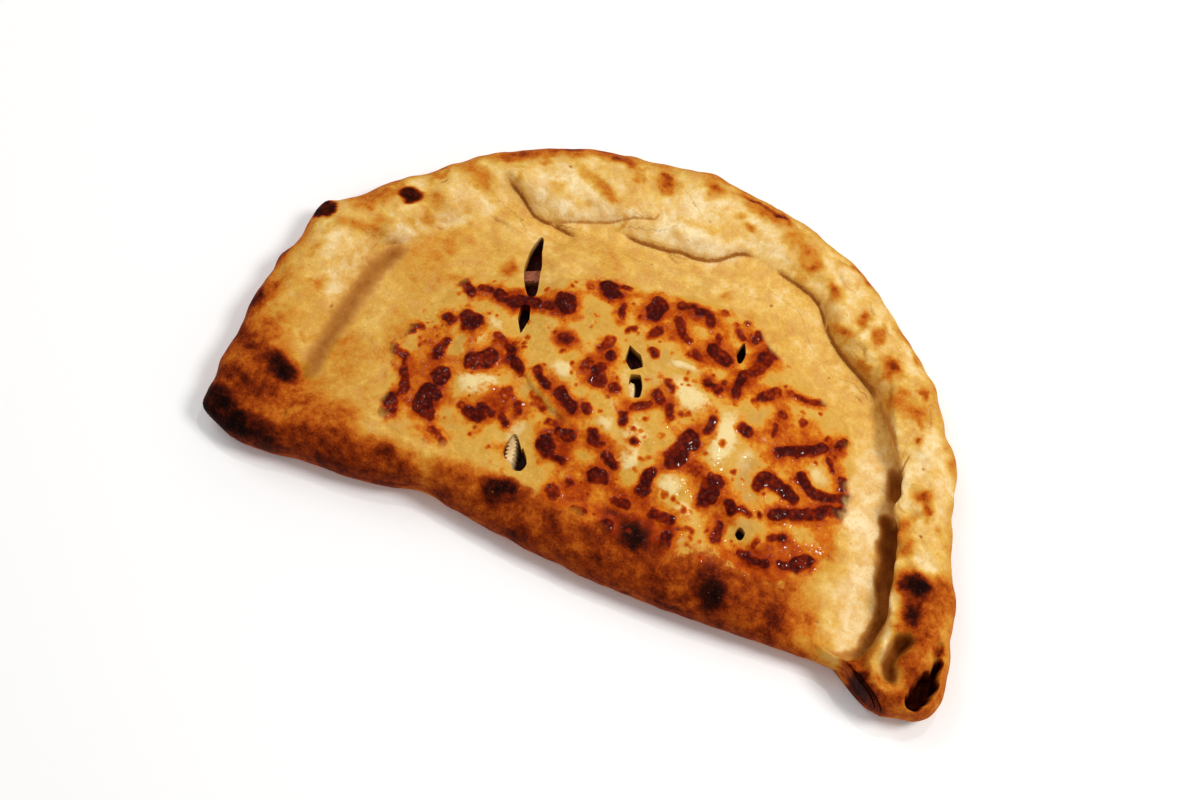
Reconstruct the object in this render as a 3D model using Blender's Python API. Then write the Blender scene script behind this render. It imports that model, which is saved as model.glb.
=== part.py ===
"""A calzone: a round of pizza dough folded over its filling, its curved edge rolled into a rim, baked.

Three nodes: "dough" (flat base, domed top, straight fold and rolled rim, with steam slits through its
top), "filling", which lies in the dough's hollow and shows in the slits, and "cheese", the sheet of
melted cheese on top.

Frame: +X along the straight fold, +Y towards the rounded rim, +Z up, with the origin on the surface
that the calzone rests on, under the middle of its box. Lengths are in metres, plan points in millimetres.
"""

import math

import bmesh
import bpy
from mathutils import Matrix, Vector, geometry, noise

MM = 0.001

# Outline in plan: the rounded rim is an arc of an ellipse, the two ends and the fold are points.
ARC_CENTRE = (-8, -20)
ARC_RADII = (129, 102.5)
ARC_ANGLES = (176, 14)  # degrees, from the left side over the top to the right side
ARC_POINTS = 10
RIGHT_END = [(128, -25), (133, -42), (138, -58), (139.5, -69), (134, -77), (123, -80.5), (113, -77)]
FOLD = [(101, -73), (60, -75), (20, -77), (-20, -75), (-50, -73), (-82, -77)]
LEFT_END = [(-112, -81), (-129, -78), (-136, -66), (-138, -45)]
# The line along the inner side of the rim, where the rolled edge meets the top sheet.
LIP = [
    (-104, -74), (-107, -58), (-109, -40), (-109, -22), (-107, -8), (-104, 4), (-95, 12), (-84, 22),
    (-72, 34), (-60, 39), (-50, 39), (-40, 41), (-26, 45), (-14, 44), (0, 46), (9, 49), (16, 54), (22, 55),
    (34, 52), (45, 49), (54, 42), (62, 34), (74, 28), (82, 22), (89, 12), (96, 2), (100, -8), (103, -20),
    (106, -32), (109, -44), (108, -58), (106, -68), (103, -72),
]
FOLD_CREST = [(60, -58), (0, -60), (-60, -58)]  # where the fold has rounded over into the top sheet
CHEESE_EDGE = [
    (-85, -38), (-84, -18), (-75, 3), (-60, 9), (-38, 14), (-27, 23), (-6, 26), (15, 30), (32, 29),
    (43, 22), (66, 14), (79, 6), (88, -12), (91, -34), (88, -50), (66, -58), (40, -61), (10, -62),
    (-12, -61), (-34, -54), (-56, -60), (-76, -59),
]
MIDDLE = Vector((0, -10, 0)) * MM  # every plan curve is read as a radius round this point

# Heights above the resting surface.
EDGE_HEIGHT = 9 * MM  # the widest level, where the side turns under
RIM_HEIGHT = 20 * MM
GROOVE_HEIGHT = 12.5 * MM  # the top sheet just inside the rim
DEEP_GROOVE_HEIGHT = 10 * MM  # the same beside the rim's right arm, which is rolled tighter
FOLD_HEIGHT = 23 * MM
DOME_HEIGHT = 31 * MM
DOME_AT = Vector((2, -30, 0)) * MM
DOME_REACH = 75 * MM
DOME_START = 0.75  # share of the way inwards at which the sheet has risen to the dome
BASE_INSET = 9 * MM  # how far the side curves in under the edge

# Where the rolled edge begins and ends, in degrees round MIDDLE: it fades out at the left corner, stops
# short at the right one, and is rolled tight from the second pair of angles on.
RIM_FADES = (214, 198)
RIM_ENDS = (326, 331)
GROOVE_ENDS = (316, 340)  # where the top sheet sinks from the fold into the groove
TIGHT_FROM = (40, 12)
SOFT_LIP, TIGHT_LIP = 0.2, 0.13  # share of the rim's width over which its inner side rises
RIM_LEVEL = 0.4  # share of the rim's width before it rounds over
ROUNDING = 2.4  # power of the rounded side: 2 is an ellipse, more is squarer

# Creases across the rolled edge, in degrees round MIDDLE, each the border of two pinched lobes.
CREASES = [173, 161, 149, 134, 118, 105, 95, 76, 62, 48, 40, 32, 21, 9, 0, -11, -19]
CREASE_WIDTH = math.radians(2.6)
CREASE_DEPTH = 2.4 * MM
CREASE_NOTCH = 1.3 * MM  # how far a crease bites into the outline

# The top sheet lies in bumps over the filling.
BUMP_HEIGHT = 1.6 * MM
BUMP_SIZE = 26 * MM
BUMP_START = 0.2

# Walls and layers.
TOP_WALL = 4.5 * MM
BASE_WALL = 4.5 * MM
RIM_SEAL, TIGHT_SEAL = 9 * MM, 20 * MM  # inside the rim, where the two layers are pressed together
FOLD_WALL = 9 * MM
STEAM_GAP = 2 * MM  # between the filling and the top sheet
FILLING_GAP = 1 * MM  # between the filling and the base under it
FILLING_INSET = 8 * MM  # the filling ends short of the sealed edge
CHEESE_GAP = 0.4 * MM
CHEESE_THICKNESS = 1.6 * MM

# Steam slits: middle of the slit in plan, direction in degrees, length and width in millimetres.
SLITS = [
    {"at": (-47, 12), "turn": -75, "length": 40, "width": 4.6},
    {"at": (0, -7), "turn": -57, "length": 20, "width": 4.8},
    {"at": (-24, -51), "turn": -50, "length": 13, "width": 4.4},
    {"at": (31, 17), "turn": -80, "length": 9, "width": 2.8},
    {"at": (56, -44), "turn": -65, "length": 5, "width": 3.0},
]
SLIT_FLOOR = 9 * MM  # the slits stop above the base
SLIT_DIMPLE = 2 * MM
DIMPLE_REACH = 9 * MM

# The open end of the rolled edge, a hollow in its right end.
CURL_AT = Vector((128, -66, 18)) * MM
CURL_RADII = Vector((5.5, 12.5, 10)) * MM
CURL_TURN = math.radians(-14)

# Fineness of the meshes: facets round the calzone, and from the middle of the top to that of the base.
DOUGH_FACETS = (88, 24)
INSIDE_FACETS = (40, 11)
CURL_FACETS = (16, 10)
CHEESE_FACETS = 64
SLIT_FACETS = 10
# The same way down, as shares: the inner line, the widest level and the flat base.
AT_LIP, AT_EDGE, AT_BASE = 0.34, 0.68, 0.84
SHEET_SPACING = 0.9  # under 1, the top sheet's facets are finer towards the rim

DOUGH_COLOUR, DOUGH_ROUGHNESS = (0.72, 0.42, 0.15), 0.6
FILLING_COLOUR, FILLING_ROUGHNESS = (0.16, 0.03, 0.015), 0.35
CHEESE_COLOUR, CHEESE_ROUGHNESS = (0.80, 0.55, 0.22), 0.35


def smooth_step(low, high, value):
    share = min(1, max(0, (value - low) / (high - low)))
    return share * share * (3 - 2 * share)


def mix(first, second, share):
    return first + (second - first) * share


def direction(angle):
    return Vector((math.cos(angle), math.sin(angle), 0))


class PlanCurve:
    """A smooth closed curve through points in plan, read as a radius round MIDDLE for any angle."""

    SPAN_STEPS = 12

    def __init__(self, points_mm):
        knots = [Vector((x, y, 0)) * MM for x, y in points_mm]
        self.polar = []
        for i, knot in enumerate(knots):
            before, after, beyond = knots[i - 1], knots[(i + 1) % len(knots)], knots[(i + 2) % len(knots)]
            span = geometry.interpolate_bezier(
                knot, knot + (after - before) / 6, after - (beyond - knot) / 6, after, self.SPAN_STEPS + 1
            )
            for point in span[:-1]:
                arm = point - MIDDLE
                self.polar.append((math.atan2(arm.y, arm.x) % math.tau, arm.length))
        self.polar.sort()

    def radius(self, angle):
        angle %= math.tau
        last_angle, last_radius = self.polar[-1]
        before = (last_angle - math.tau, last_radius)
        for here in self.polar:
            if here[0] >= angle:
                break
            before = here
        else:
            here = (self.polar[0][0] + math.tau, self.polar[0][1])
        share = (angle - before[0]) / max(here[0] - before[0], 1e-9)
        return mix(before[1], here[1], share)


def arc_points():
    """Points along the rounded rim, in millimetres."""
    start, end = ARC_ANGLES
    angles = [math.radians(mix(start, end, i / (ARC_POINTS - 1))) for i in range(ARC_POINTS)]
    return [
        (ARC_CENTRE[0] + ARC_RADII[0] * math.cos(a), ARC_CENTRE[1] + ARC_RADII[1] * math.sin(a))
        for a in angles
    ]


OUTLINE = PlanCurve(arc_points() + RIGHT_END + FOLD + LEFT_END)
INNER_LINE = PlanCurve(LIP + FOLD_CREST)
CHEESE_LINE = PlanCurve(CHEESE_EDGE)


def rim_share(angle):
    """1 along the rolled edge, 0 along the fold, which has no rim."""
    degrees = math.degrees(angle) % 360
    fades_left = smooth_step(*RIM_FADES, degrees) if degrees > 180 else 1
    return max(fades_left, smooth_step(*RIM_ENDS, degrees))


def groove_share(angle):
    """1 where the top sheet sinks to the groove inside the rim, 0 where it stays at the fold's height."""
    degrees = math.degrees(angle) % 360
    fades_left = smooth_step(*RIM_FADES, degrees) if degrees > 180 else 1
    return max(fades_left, smooth_step(*GROOVE_ENDS, degrees))


def tightness(angle):
    """1 along the rim's right arm, 0 over the top and the left side."""
    degrees = (math.degrees(angle) + 180) % 360 - 180
    return smooth_step(*TIGHT_FROM, degrees) if degrees > -90 else 0


def crease(angle):
    """1 in the crease between two lobes of the rolled edge, 0 on the lobes."""
    nearest = min(abs((angle - math.radians(at) + math.pi) % math.tau - math.pi) for at in CREASES)
    return math.exp(-((nearest / CREASE_WIDTH) ** 2)) * rim_share(angle)


def slit_dimples(point):
    """How far the top sheet sinks round the steam slits."""
    depth = 0
    for slit in SLITS:
        along = direction(math.radians(slit["turn"]))
        arm = point - Vector((*slit["at"], 0)) * MM
        beyond = max(0, abs(arm.dot(along)) - slit["length"] * MM / 2)
        aside = arm - along * arm.dot(along)
        depth += SLIT_DIMPLE * math.exp(-((beyond**2 + aside.length_squared) / DIMPLE_REACH**2))
    return depth


def sheet_height(point, angle):
    """Height of the top sheet inside the rim."""
    inward = 1 - min(1, (point - MIDDLE).length / INNER_LINE.radius(angle))  # 0 at the rim, 1 in the middle
    groove = mix(GROOVE_HEIGHT, DEEP_GROOVE_HEIGHT, tightness(angle))
    start = mix(FOLD_HEIGHT, groove, groove_share(angle))
    fall = math.exp(-(((point - DOME_AT).length / DOME_REACH) ** 2))
    crown = mix(start, mix(FOLD_HEIGHT, DOME_HEIGHT, fall), smooth_step(0, DOME_START, inward))
    bumps = BUMP_HEIGHT * noise.noise(point / BUMP_SIZE) * smooth_step(0, BUMP_START, inward)
    return crown + bumps - slit_dimples(point)


def top_height(angle, radius):
    """Height of the calzone's upper side at this angle and radius round MIDDLE."""
    inner, outer = INNER_LINE.radius(angle), OUTLINE.radius(angle)
    if radius <= inner:
        return sheet_height(MIDDLE + direction(angle) * radius, angle)
    across = (radius - inner) / (outer - inner)  # 0 at the inner line, 1 at the outline
    sheet = sheet_height(MIDDLE + direction(angle) * inner, angle)
    rim = RIM_HEIGHT - CREASE_DEPTH * crease(angle)
    risen = smooth_step(0, mix(SOFT_LIP, TIGHT_LIP, tightness(angle)), across)
    crest = mix(sheet, mix(sheet, rim, risen), rim_share(angle))
    level = RIM_LEVEL * rim_share(angle)
    rounding = max(0, (across - level) / (1 - level))
    return EDGE_HEIGHT + (crest - EDGE_HEIGHT) * math.sqrt(max(0, 1 - rounding**ROUNDING))


def dough_point(angle, way):
    """The dough's surface at this angle, way running from 0, top middle, over the edge to 1, base middle."""
    inner, outline = INNER_LINE.radius(angle), OUTLINE.radius(angle)
    outer = outline - CREASE_NOTCH * crease(angle)
    if way <= AT_LIP:
        radius = inner * (way / AT_LIP) ** SHEET_SPACING
        height = top_height(angle, radius)
    elif way <= AT_EDGE:
        across = math.sin((way - AT_LIP) / (AT_EDGE - AT_LIP) * math.pi / 2)
        radius = mix(inner, outer, across)
        height = top_height(angle, mix(inner, outline, across))
    elif way <= AT_BASE:
        under = (way - AT_EDGE) / (AT_BASE - AT_EDGE) * math.pi / 2
        radius = outer - BASE_INSET * (1 - math.cos(under))
        height = EDGE_HEIGHT * (1 - math.sin(under))
    else:
        radius = (outer - BASE_INSET) * (1 - way) / (1 - AT_BASE)
        height = 0
    place = MIDDLE + direction(angle) * radius
    place.z = height
    return place


def mesh_object(name, collection, material, mesh_data):
    mesh = bpy.data.meshes.new(name)
    mesh_data.to_mesh(mesh)
    mesh_data.free()
    mesh.shade_smooth()
    made = bpy.data.objects.new(name, mesh)
    collection.objects.link(made)
    if material:
        mesh.materials.append(material)
    return made


def moulded_sphere(name, collection, material, facets, place):
    """A closed body: a sphere whose every point is moved to place(angle, way from top to bottom)."""
    ball = bmesh.new()
    bmesh.ops.create_uvsphere(ball, u_segments=facets[0], v_segments=facets[1], radius=1)
    for vertex in ball.verts:
        angle = math.atan2(vertex.co.y, vertex.co.x)
        way = math.acos(max(-1, min(1, vertex.co.z))) / math.pi
        vertex.co = place(angle, way)
    bmesh.ops.triangulate(ball, faces=ball.faces)  # so that lifted copies keep the same facets
    return mesh_object(name, collection, material, ball)


def layer(name, collection, material, edge, top, bottom, squareness=5):
    """A closed body between two heights, whose plan is edge(angle) and whose rim is rounded."""

    def place(angle, way):
        latitude = way * math.pi
        radius = edge(angle) * abs(math.sin(latitude)) ** (2 / squareness)
        rise = math.copysign(abs(math.cos(latitude)) ** (2 / squareness), math.cos(latitude))
        where = MIDDLE + direction(angle) * radius
        where.z = mix(bottom, top_height(angle, radius) - top, (rise + 1) / 2)
        return where

    return moulded_sphere(name, collection, material, INSIDE_FACETS, place)


def hollow_edge(angle):
    """Plan of the hollow in the dough: up to the rim, and to the wall behind the fold."""
    at_fold = OUTLINE.radius(angle) - FOLD_WALL
    at_rim = INNER_LINE.radius(angle) - mix(RIM_SEAL, TIGHT_SEAL, tightness(angle))
    return mix(at_fold, at_rim, rim_share(angle))


def make_dough(collection, cutters, material):
    dough = moulded_sphere("dough", collection, material, DOUGH_FACETS, dough_point)
    layer("hollow", cutters, None, edge=hollow_edge, top=TOP_WALL, bottom=BASE_WALL)
    curl = bmesh.new()
    turned = Matrix.LocRotScale(CURL_AT, Matrix.Rotation(CURL_TURN, 3, "Z"), CURL_RADII)
    bmesh.ops.create_uvsphere(
        curl, u_segments=CURL_FACETS[0], v_segments=CURL_FACETS[1], radius=1, matrix=turned
    )
    mesh_object("curl_hollow", cutters, None, curl)
    return dough


def make_filling(collection, material):
    return layer(
        "filling", collection, material,
        edge=lambda angle: hollow_edge(angle) - FILLING_INSET,
        top=TOP_WALL + STEAM_GAP,
        bottom=BASE_WALL + FILLING_GAP,
    )


def make_cheese(collection, cutters, material, dough):
    """The dough's own upper side, lifted by the fit gap, trimmed to the cheese's plan."""
    sheet = bmesh.new()
    bmesh.ops.create_circle(sheet, cap_ends=True, segments=CHEESE_FACETS, radius=1)
    for vertex in sheet.verts:
        angle = math.atan2(vertex.co.y, vertex.co.x)
        vertex.co = MIDDLE + direction(angle) * CHEESE_LINE.radius(angle)
    walls = bmesh.ops.extrude_face_region(sheet, geom=sheet.faces[:])
    raised = [item for item in walls["geom"] if isinstance(item, bmesh.types.BMVert)]
    bmesh.ops.translate(sheet, verts=raised, vec=(0, 0, DOME_HEIGHT * 2))
    bmesh.ops.recalc_face_normals(sheet, faces=sheet.faces)
    cheese = mesh_object("cheese", collection, material, sheet)
    for name, lift in (("cheese_top", CHEESE_GAP + CHEESE_THICKNESS), ("cheese_underside", CHEESE_GAP)):
        lifted = bpy.data.objects.new(name, dough.data)
        lifted.location.z = lift
        cutters.objects.link(lifted)
    cut(cheese, ["cheese_top"], cutters, "INTERSECT")
    cut(cheese, ["cheese_underside"], cutters)
    return cheese


def make_slit_cutters(cutters):
    """Upright blades with pointed ends, one for each steam slit, from above the top down to its floor."""
    half = DOME_HEIGHT - SLIT_FLOOR
    for number, slit in enumerate(SLITS, 1):
        blade = bmesh.new()
        bmesh.ops.create_cone(
            blade, cap_ends=True, segments=SLIT_FACETS, radius1=0.5, radius2=0.5, depth=2,
            matrix=Matrix.LocRotScale(
                Vector((*slit["at"], 0)) * MM + Vector((0, 0, DOME_HEIGHT)),
                Matrix.Rotation(math.radians(slit["turn"]), 3, "Z"),
                Vector((slit["length"] * MM, slit["width"] * MM, half)),
            ),
        )
        mesh_object(f"slit_{number}", cutters, None, blade)


def cut(target, cutter_names, cutters, operation="DIFFERENCE"):
    for name in cutter_names:
        boolean = target.modifiers.new(f"cut_{name}", "BOOLEAN")
        boolean.operation = operation
        boolean.solver = "EXACT"
        boolean.object = cutters.objects[name]


def centre_in_plan(dough, objects):
    """Hangs every object on an empty, placed so that the dough's box is centred on the origin."""
    places = [vertex.co for vertex in dough.data.vertices]
    centre = Vector()
    for axis in (0, 1):
        along = [place[axis] for place in places]
        centre[axis] = (min(along) + max(along)) / 2
    holder = bpy.data.objects.new("calzone_centre", None)
    holder.location = -centre
    bpy.context.scene.collection.objects.link(holder)
    for piece in objects:
        piece.parent = holder


def food_material(name, colour, roughness):
    material = bpy.data.materials.new(name)
    material.use_nodes = True
    shader = material.node_tree.nodes["Principled BSDF"]
    shader.inputs["Base Color"].default_value = (*colour, 1)
    shader.inputs["Roughness"].default_value = roughness
    shader.inputs["Metallic"].default_value = 0
    material.diffuse_color = (*colour, 1)
    return material


def new_collection(name):
    collection = bpy.data.collections.new(name)
    bpy.context.scene.collection.children.link(collection)
    return collection


def main():
    for old in list(bpy.data.objects):
        bpy.data.objects.remove(old)
    calzone = new_collection("calzone")
    cutters = new_collection("cutters")

    dough = make_dough(calzone, cutters, food_material("baked_dough", DOUGH_COLOUR, DOUGH_ROUGHNESS))
    make_filling(calzone, food_material("tomato_filling", FILLING_COLOUR, FILLING_ROUGHNESS))
    melted = food_material("melted_cheese", CHEESE_COLOUR, CHEESE_ROUGHNESS)
    cheese = make_cheese(calzone, cutters, melted, dough)
    make_slit_cutters(cutters)

    slits = [f"slit_{number}" for number in range(1, len(SLITS) + 1)]
    cut(dough, ["hollow", "curl_hollow", *slits], cutters)
    cut(cheese, slits, cutters)
    for cutter in cutters.objects:
        cutter.hide_render = True
        cutter.display_type = "WIRE"
    centre_in_plan(dough, [*calzone.objects, *cutters.objects])


main()
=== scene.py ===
import math

import bmesh
import bpy
import numpy as np
from mathutils import Matrix, Vector


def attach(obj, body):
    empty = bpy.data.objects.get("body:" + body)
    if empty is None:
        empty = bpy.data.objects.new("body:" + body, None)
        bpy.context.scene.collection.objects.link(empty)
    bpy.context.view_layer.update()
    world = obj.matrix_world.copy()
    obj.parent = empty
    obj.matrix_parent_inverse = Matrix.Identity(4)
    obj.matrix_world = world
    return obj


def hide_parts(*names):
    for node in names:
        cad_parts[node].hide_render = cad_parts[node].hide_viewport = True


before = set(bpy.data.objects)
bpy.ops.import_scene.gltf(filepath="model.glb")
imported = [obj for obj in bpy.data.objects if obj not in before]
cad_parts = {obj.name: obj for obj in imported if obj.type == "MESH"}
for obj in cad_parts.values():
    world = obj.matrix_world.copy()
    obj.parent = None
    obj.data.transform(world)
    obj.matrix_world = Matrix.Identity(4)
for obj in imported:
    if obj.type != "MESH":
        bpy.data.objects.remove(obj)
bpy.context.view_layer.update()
print("frame loaded:", sorted(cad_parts))

# Plan places, heights and sizes are in millimetres in the row frame, and become metres when a mesh is filled.
mm = 0.001


# ---- small helpers ----

def smooth(low, high, value):
    share = np.clip((value - low) / (high - low), 0, 1)
    return share * share * (3 - 2 * share)


def mix(first, second, share):
    return first + (second - first) * share


def lumps(x, y, size, seed=0.0):  # soft noise, about -1 to 1, with lumps of this size
    u, v = x / size, y / size
    column, row = np.floor(u), np.floor(v)
    u, v = u - column, v - row

    def corner(right, up):  # a slope picked at random for each whole-number corner
        pick = np.sin((column + right) * 12.9898 + (row + up) * 78.233 + seed * 3.7) * 43758.5453
        turn = (pick - np.floor(pick)) * math.tau
        return np.cos(turn) * (u - right) + np.sin(turn) * (v - up)

    across, upward = u * u * u * (u * (u * 6 - 15) + 10), v * v * v * (v * (v * 6 - 15) + 10)
    return 1.5 * mix(mix(corner(0, 0), corner(1, 0), across), mix(corner(0, 1), corner(1, 1), across), upward)


def strokeDistance(x, y, line):  # distance to a line of plan points, and how far along it, in millimetres
    best, along, gone = np.full(x.shape, 1e9), np.zeros(x.shape), 0.0
    for (ax, ay), (bx, by) in zip(line, line[1:] or line):
        dx, dy = bx - ax, by - ay
        length = math.hypot(dx, dy)
        t = np.clip(((x - ax) * dx + (y - ay) * dy) / max(length**2, 1e-9), 0, 1)
        away = np.hypot(x - ax - t * dx, y - ay - t * dy)
        nearer = away < best
        best, along = np.where(nearer, away, best), np.where(nearer, gone + t * length, along)
        gone += length
    return best, along, gone


def strokeSide(x, y, line):  # signed distance, positive on the left of the way the line runs
    best, side = np.full(x.shape, 1e9), np.zeros(x.shape)
    for (ax, ay), (bx, by) in zip(line, line[1:]):
        dx, dy = bx - ax, by - ay
        length = math.hypot(dx, dy)
        t = np.clip(((x - ax) * dx + (y - ay) * dy) / length**2, 0, 1)
        away = np.hypot(x - ax - t * dx, y - ay - t * dy)
        cross = (dx * (y - ay) - dy * (x - ax)) / length
        nearer = away < best
        best, side = np.where(nearer, away, best), np.where(nearer, cross, side)
    return np.where(side >= 0, best, -best)


def spotShare(x, y, at, radii, turn=0.0, power=2.0):  # 1 in the middle of an oval patch, fading out past its radii
    c, s = math.cos(math.radians(turn)), math.sin(math.radians(turn))
    u, v = (x - at[0]) * c + (y - at[1]) * s, (y - at[1]) * c - (x - at[0]) * s
    return np.exp(-(np.hypot(u / radii[0], v / radii[1]) ** power))


class PlanCurve:  # a smooth closed curve through plan points, read as a radius round the middle
    def __init__(self, points, steps=10):
        knots = np.array(points, float)
        t = np.linspace(0, 1, steps, endpoint=False)[:, None]
        spans = []
        for i in range(len(knots)):
            a, b, c, d = knots[i - 1], knots[i], knots[(i + 1) % len(knots)], knots[(i + 2) % len(knots)]
            curve = 2 * b + (c - a) * t + (2 * a - 5 * b + 4 * c - d) * t**2 + (3 * b - a - 3 * c + d) * t**3
            spans.append(curve / 2)
        arms = np.concatenate(spans) - form["middle"]
        turns = np.arctan2(arms[:, 1], arms[:, 0])
        order = np.argsort(turns)
        self.turns, self.arms = turns[order], np.hypot(arms[:, 0], arms[:, 1])[order]

    def radius(self, turn):
        return np.interp(turn, self.turns, self.arms, period=math.tau)


def byTurn(table, turn):  # a value that changes round the calzone: table of (degrees, value)
    degrees, values = zip(*table)
    return np.interp(np.degrees(turn) % 360, degrees, values, period=360)


# ---- the baked form: outline, rolled rim and top sheet ----

form = {
    "middle": (0.0, -10.0),
    "outline": [
        (128.5, -28), (126.5, -24), (124, -18.5), (122.3, -12.5), (119.7, -7), (118, 0), (116.2, 6), (114.5, 12),
        (111.3, 16.8), (107, 21.3), (104, 26.5), (100.5, 31.3), (97, 37), (92, 41), (86.7, 45.7), (81.5, 49.7),
        (76.5, 53.2), (72, 57), (66, 61.5), (60, 65.5), (52.4, 69.4), (44.2, 72.3), (36.5, 75.2), (27, 77.5),
        (18, 79), (9, 80), (0, 81.2), (-8, 82.2), (-17, 80.3), (-27, 78.2), (-36.5, 76.8), (-45.5, 74.8),
        (-55, 72), (-64.5, 68.2), (-74, 63.3), (-82.3, 58.2), (-90, 52), (-97.5, 45), (-104.5, 38), (-111, 33),
        (-117, 26.5), (-122.3, 20), (-127.8, 15.6), (-132.6, 12.4), (-133.8, 7), (-133.8, 1), (-134, -6),
        (-136.8, -13), (-136.8, -20), (-138.2, -28), (-138, -34), (-136.8, -41), (-136.8, -50), (-137.2, -58),
        (-135.8, -65), (-136.2, -70), (-134.6, -75.5), (-128, -79), (-118, -81.3), (-108, -80.7), (-98, -78.8),
        (-88, -78), (-76, -77.2), (-64, -74.8), (-52, -71.8), (-40, -72.8), (-28, -74.2), (-14, -75.3),
        (0, -76.1), (14, -76.6), (28, -76.3), (42, -75.8), (54, -74.8), (66, -74), (80, -72.4), (92, -71.6),
        (101.5, -71), (107.3, -71.3), (111.5, -73), (115, -76.2), (118.5, -78.6), (122, -79.6), (126.5, -78.4),
        (130.5, -77.3), (135, -76), (138, -72.2), (139, -67), (138.4, -60), (136.5, -53), (134.4, -46),
        (133.2, -39), (131.3, -33),
    ],
    "lip": [  # the foot of the rolled rim, where it meets the top sheet
        (-90, -62), (-100, -60.5), (-105.5, -55), (-108, -45), (-109, -30), (-108.5, -15), (-107, -3),
        (-105, 5), (-99, 9), (-93, 13.5), (-85.5, 20.5), (-79, 25), (-73, 33), (-67, 40), (-60, 38.8),
        (-52, 38.2), (-46, 39), (-38, 42.5), (-31, 44.3), (-25, 44), (-18, 43.6), (-10, 44.2), (-5, 45.3),
        (0, 45.2), (5, 46.2), (9, 48.3), (13, 52), (16.5, 54.2), (21, 54.2), (28, 52.5), (36, 51),
        (44, 49.5), (48, 47.2), (51, 44.5), (53.5, 41), (56.5, 37.8), (61, 34.5), (66, 31.8), (71, 29.3),
        (76, 26.8), (80, 24), (84, 18.5), (88, 13), (91.8, 7.5), (95.8, 2.6), (99, -3), (101, -10),
        (101, -14.5), (102.6, -17.8), (104.8, -20.5), (105.8, -24), (106.2, -28), (108, -31.5), (108.6, -36.5),
        (109.6, -41), (111.6, -48), (111.2, -54), (110, -61), (107.5, -67), (100, -68.5), (80, -63), (60, -59), (30, -59.5), (0, -60), (-30, -60), (-60, -60),
    ],
    "cheeseLine": [
        (-86, -38), (-85, -18), (-76, 3), (-62, 11), (-40, 15), (-28, 24), (-6, 28), (15, 32), (33, 31),
        (45, 24), (66, 16), (80, 8), (89, -12), (92, -34), (89, -50), (66, -62), (40, -64), (10, -65),
        (-12, -64), (-34, -60), (-56, -62), (-77, -60),
    ],
    "edge": 9.0, "baseInset": 9.0, "fold": 22.5, "dome": 29.6, "domeAt": (2, -30), "domeReach": 75,
    "domeStart": 0.72,
    # round the calzone, in degrees: the sheet's height beside the rim, the rim's crest, the width over
    # which the rim rises, and how far its lip hangs over the groove
    "groove": [(0, 9.5), (20, 10.5), (32, 13), (45, 15), (60, 17), (90, 17.2), (120, 15.5), (145, 13), (170, 12), (190, 12.5),
               (215, 14), (327, 11), (345, 9.5)],
    "crest": [(0, 20.5), (20, 20), (45, 20.5), (70, 20.5), (90, 21), (110, 20.5), (130, 20), (150, 19.5), (180, 19),
              (200, 19.5), (215, 20.5), (325, 19), (340, 21)],
    "rise": [(0, 3.4), (15, 4.5), (28, 8), (45, 6.5), (60, 8), (90, 7), (110, 8), (122, 10), (135, 15), (150, 17),
             (164, 11), (172, 8), (180, 9), (195, 13), (215, 16), (328, 6), (345, 3.4)],
    "soft": [(0, 0), (25, 0), (45, 0.35), (60, 0.6), (90, 0.55), (108, 0.5), (122, 0.8), (135, 1), (160, 1), (170, 0.45),
             (180, 0.6), (200, 1), (325, 0.5), (345, 0)],
    "hang": [(0, 2.6), (12, 1.6), (25, 0), (120, 0), (164, 0.0), (172, 0.5), (182, 0), (325, 0), (335, 1.4), (350, 2.6)],
    "rimFades": (214, 199), "rimEnds": (327.5, 330.5), "grooveEnds": (312, 338),
    "level": 0.42, "rounding": 2.3,
}
outline, lipLine, cheeseCurve = (PlanCurve(form[key]) for key in ("outline", "lip", "cheeseLine"))

# Swells on the surface: place, radii, turn in degrees, height.
swells = [
    ((0, 51), (17, 4.5), 4, 1.5), ((-54, 45), (16, 4), 0, 1.3), ((-27, 60), (13, 6), 5, 0.8),
    ((-80, 34), (13, 5), 38, 0.9), ((-118, -4), (6, 13), 0, 0.9), ((-117, -38), (7, 10), 0, 0.6),
    ((-100, 12), (5, 3), 35, 1.0), ((55, 47), (6.5, 4.5), -40, 1.5), ((67.5, 42), (2.2, 6), -25, 1.1),
    ((77, 44), (5, 4), -35, 0.8), ((76, 34), (5, 4.5), 0, 0.8), ((92, 10), (3, 7), 32, 0.9),
    ((105, 9), (4, 8), 25, 0.7), ((110, -8), (4, 6), 10, 0.8), ((116, -23), (6, 6), 10, 0.9),
    ((128, -47), (3, 7), 10, 0.7), ((40, 62), (7, 4), -25, 0.8), ((-125, -60), (6, 6), 0, 1.0),
    ((-47, -35), (11, 6), 0, 0.9), ((20, -12), (11, 7), -10, 0.9), ((38, -18), (4, 11), 0, 0.9),
    ((-56, -21), (6, 5), 0, 0.8), ((12, -38), (5, 6), 0, 0.7), ((-30, -26), (16, 3), -24, 0.9),
    ((28, -62), (14, 5), 0, -0.8), ((50, -26), (5, 6), 0, -1.8), ((53, -32), (5, 4), 0, -1.2),
    ((-20, 10), (12, 8), 0, 0.8), ((70, 20), (10, 5), 0, -0.7), ((-75, -10), (12, 14), 0, -0.9),
    ((72, -22), (16, 12), 20, 0.9), ((-30, 30), (20, 6), 8, 0.8), ((25, 36), (16, 6), 0, 0.9),
    ((-42, -10), (2.5, 8), 5, -0.9), ((-92, -35), (8, 18), 0, 0.8), ((-88, 5), (8, 8), 30, 0.7),
]

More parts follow.
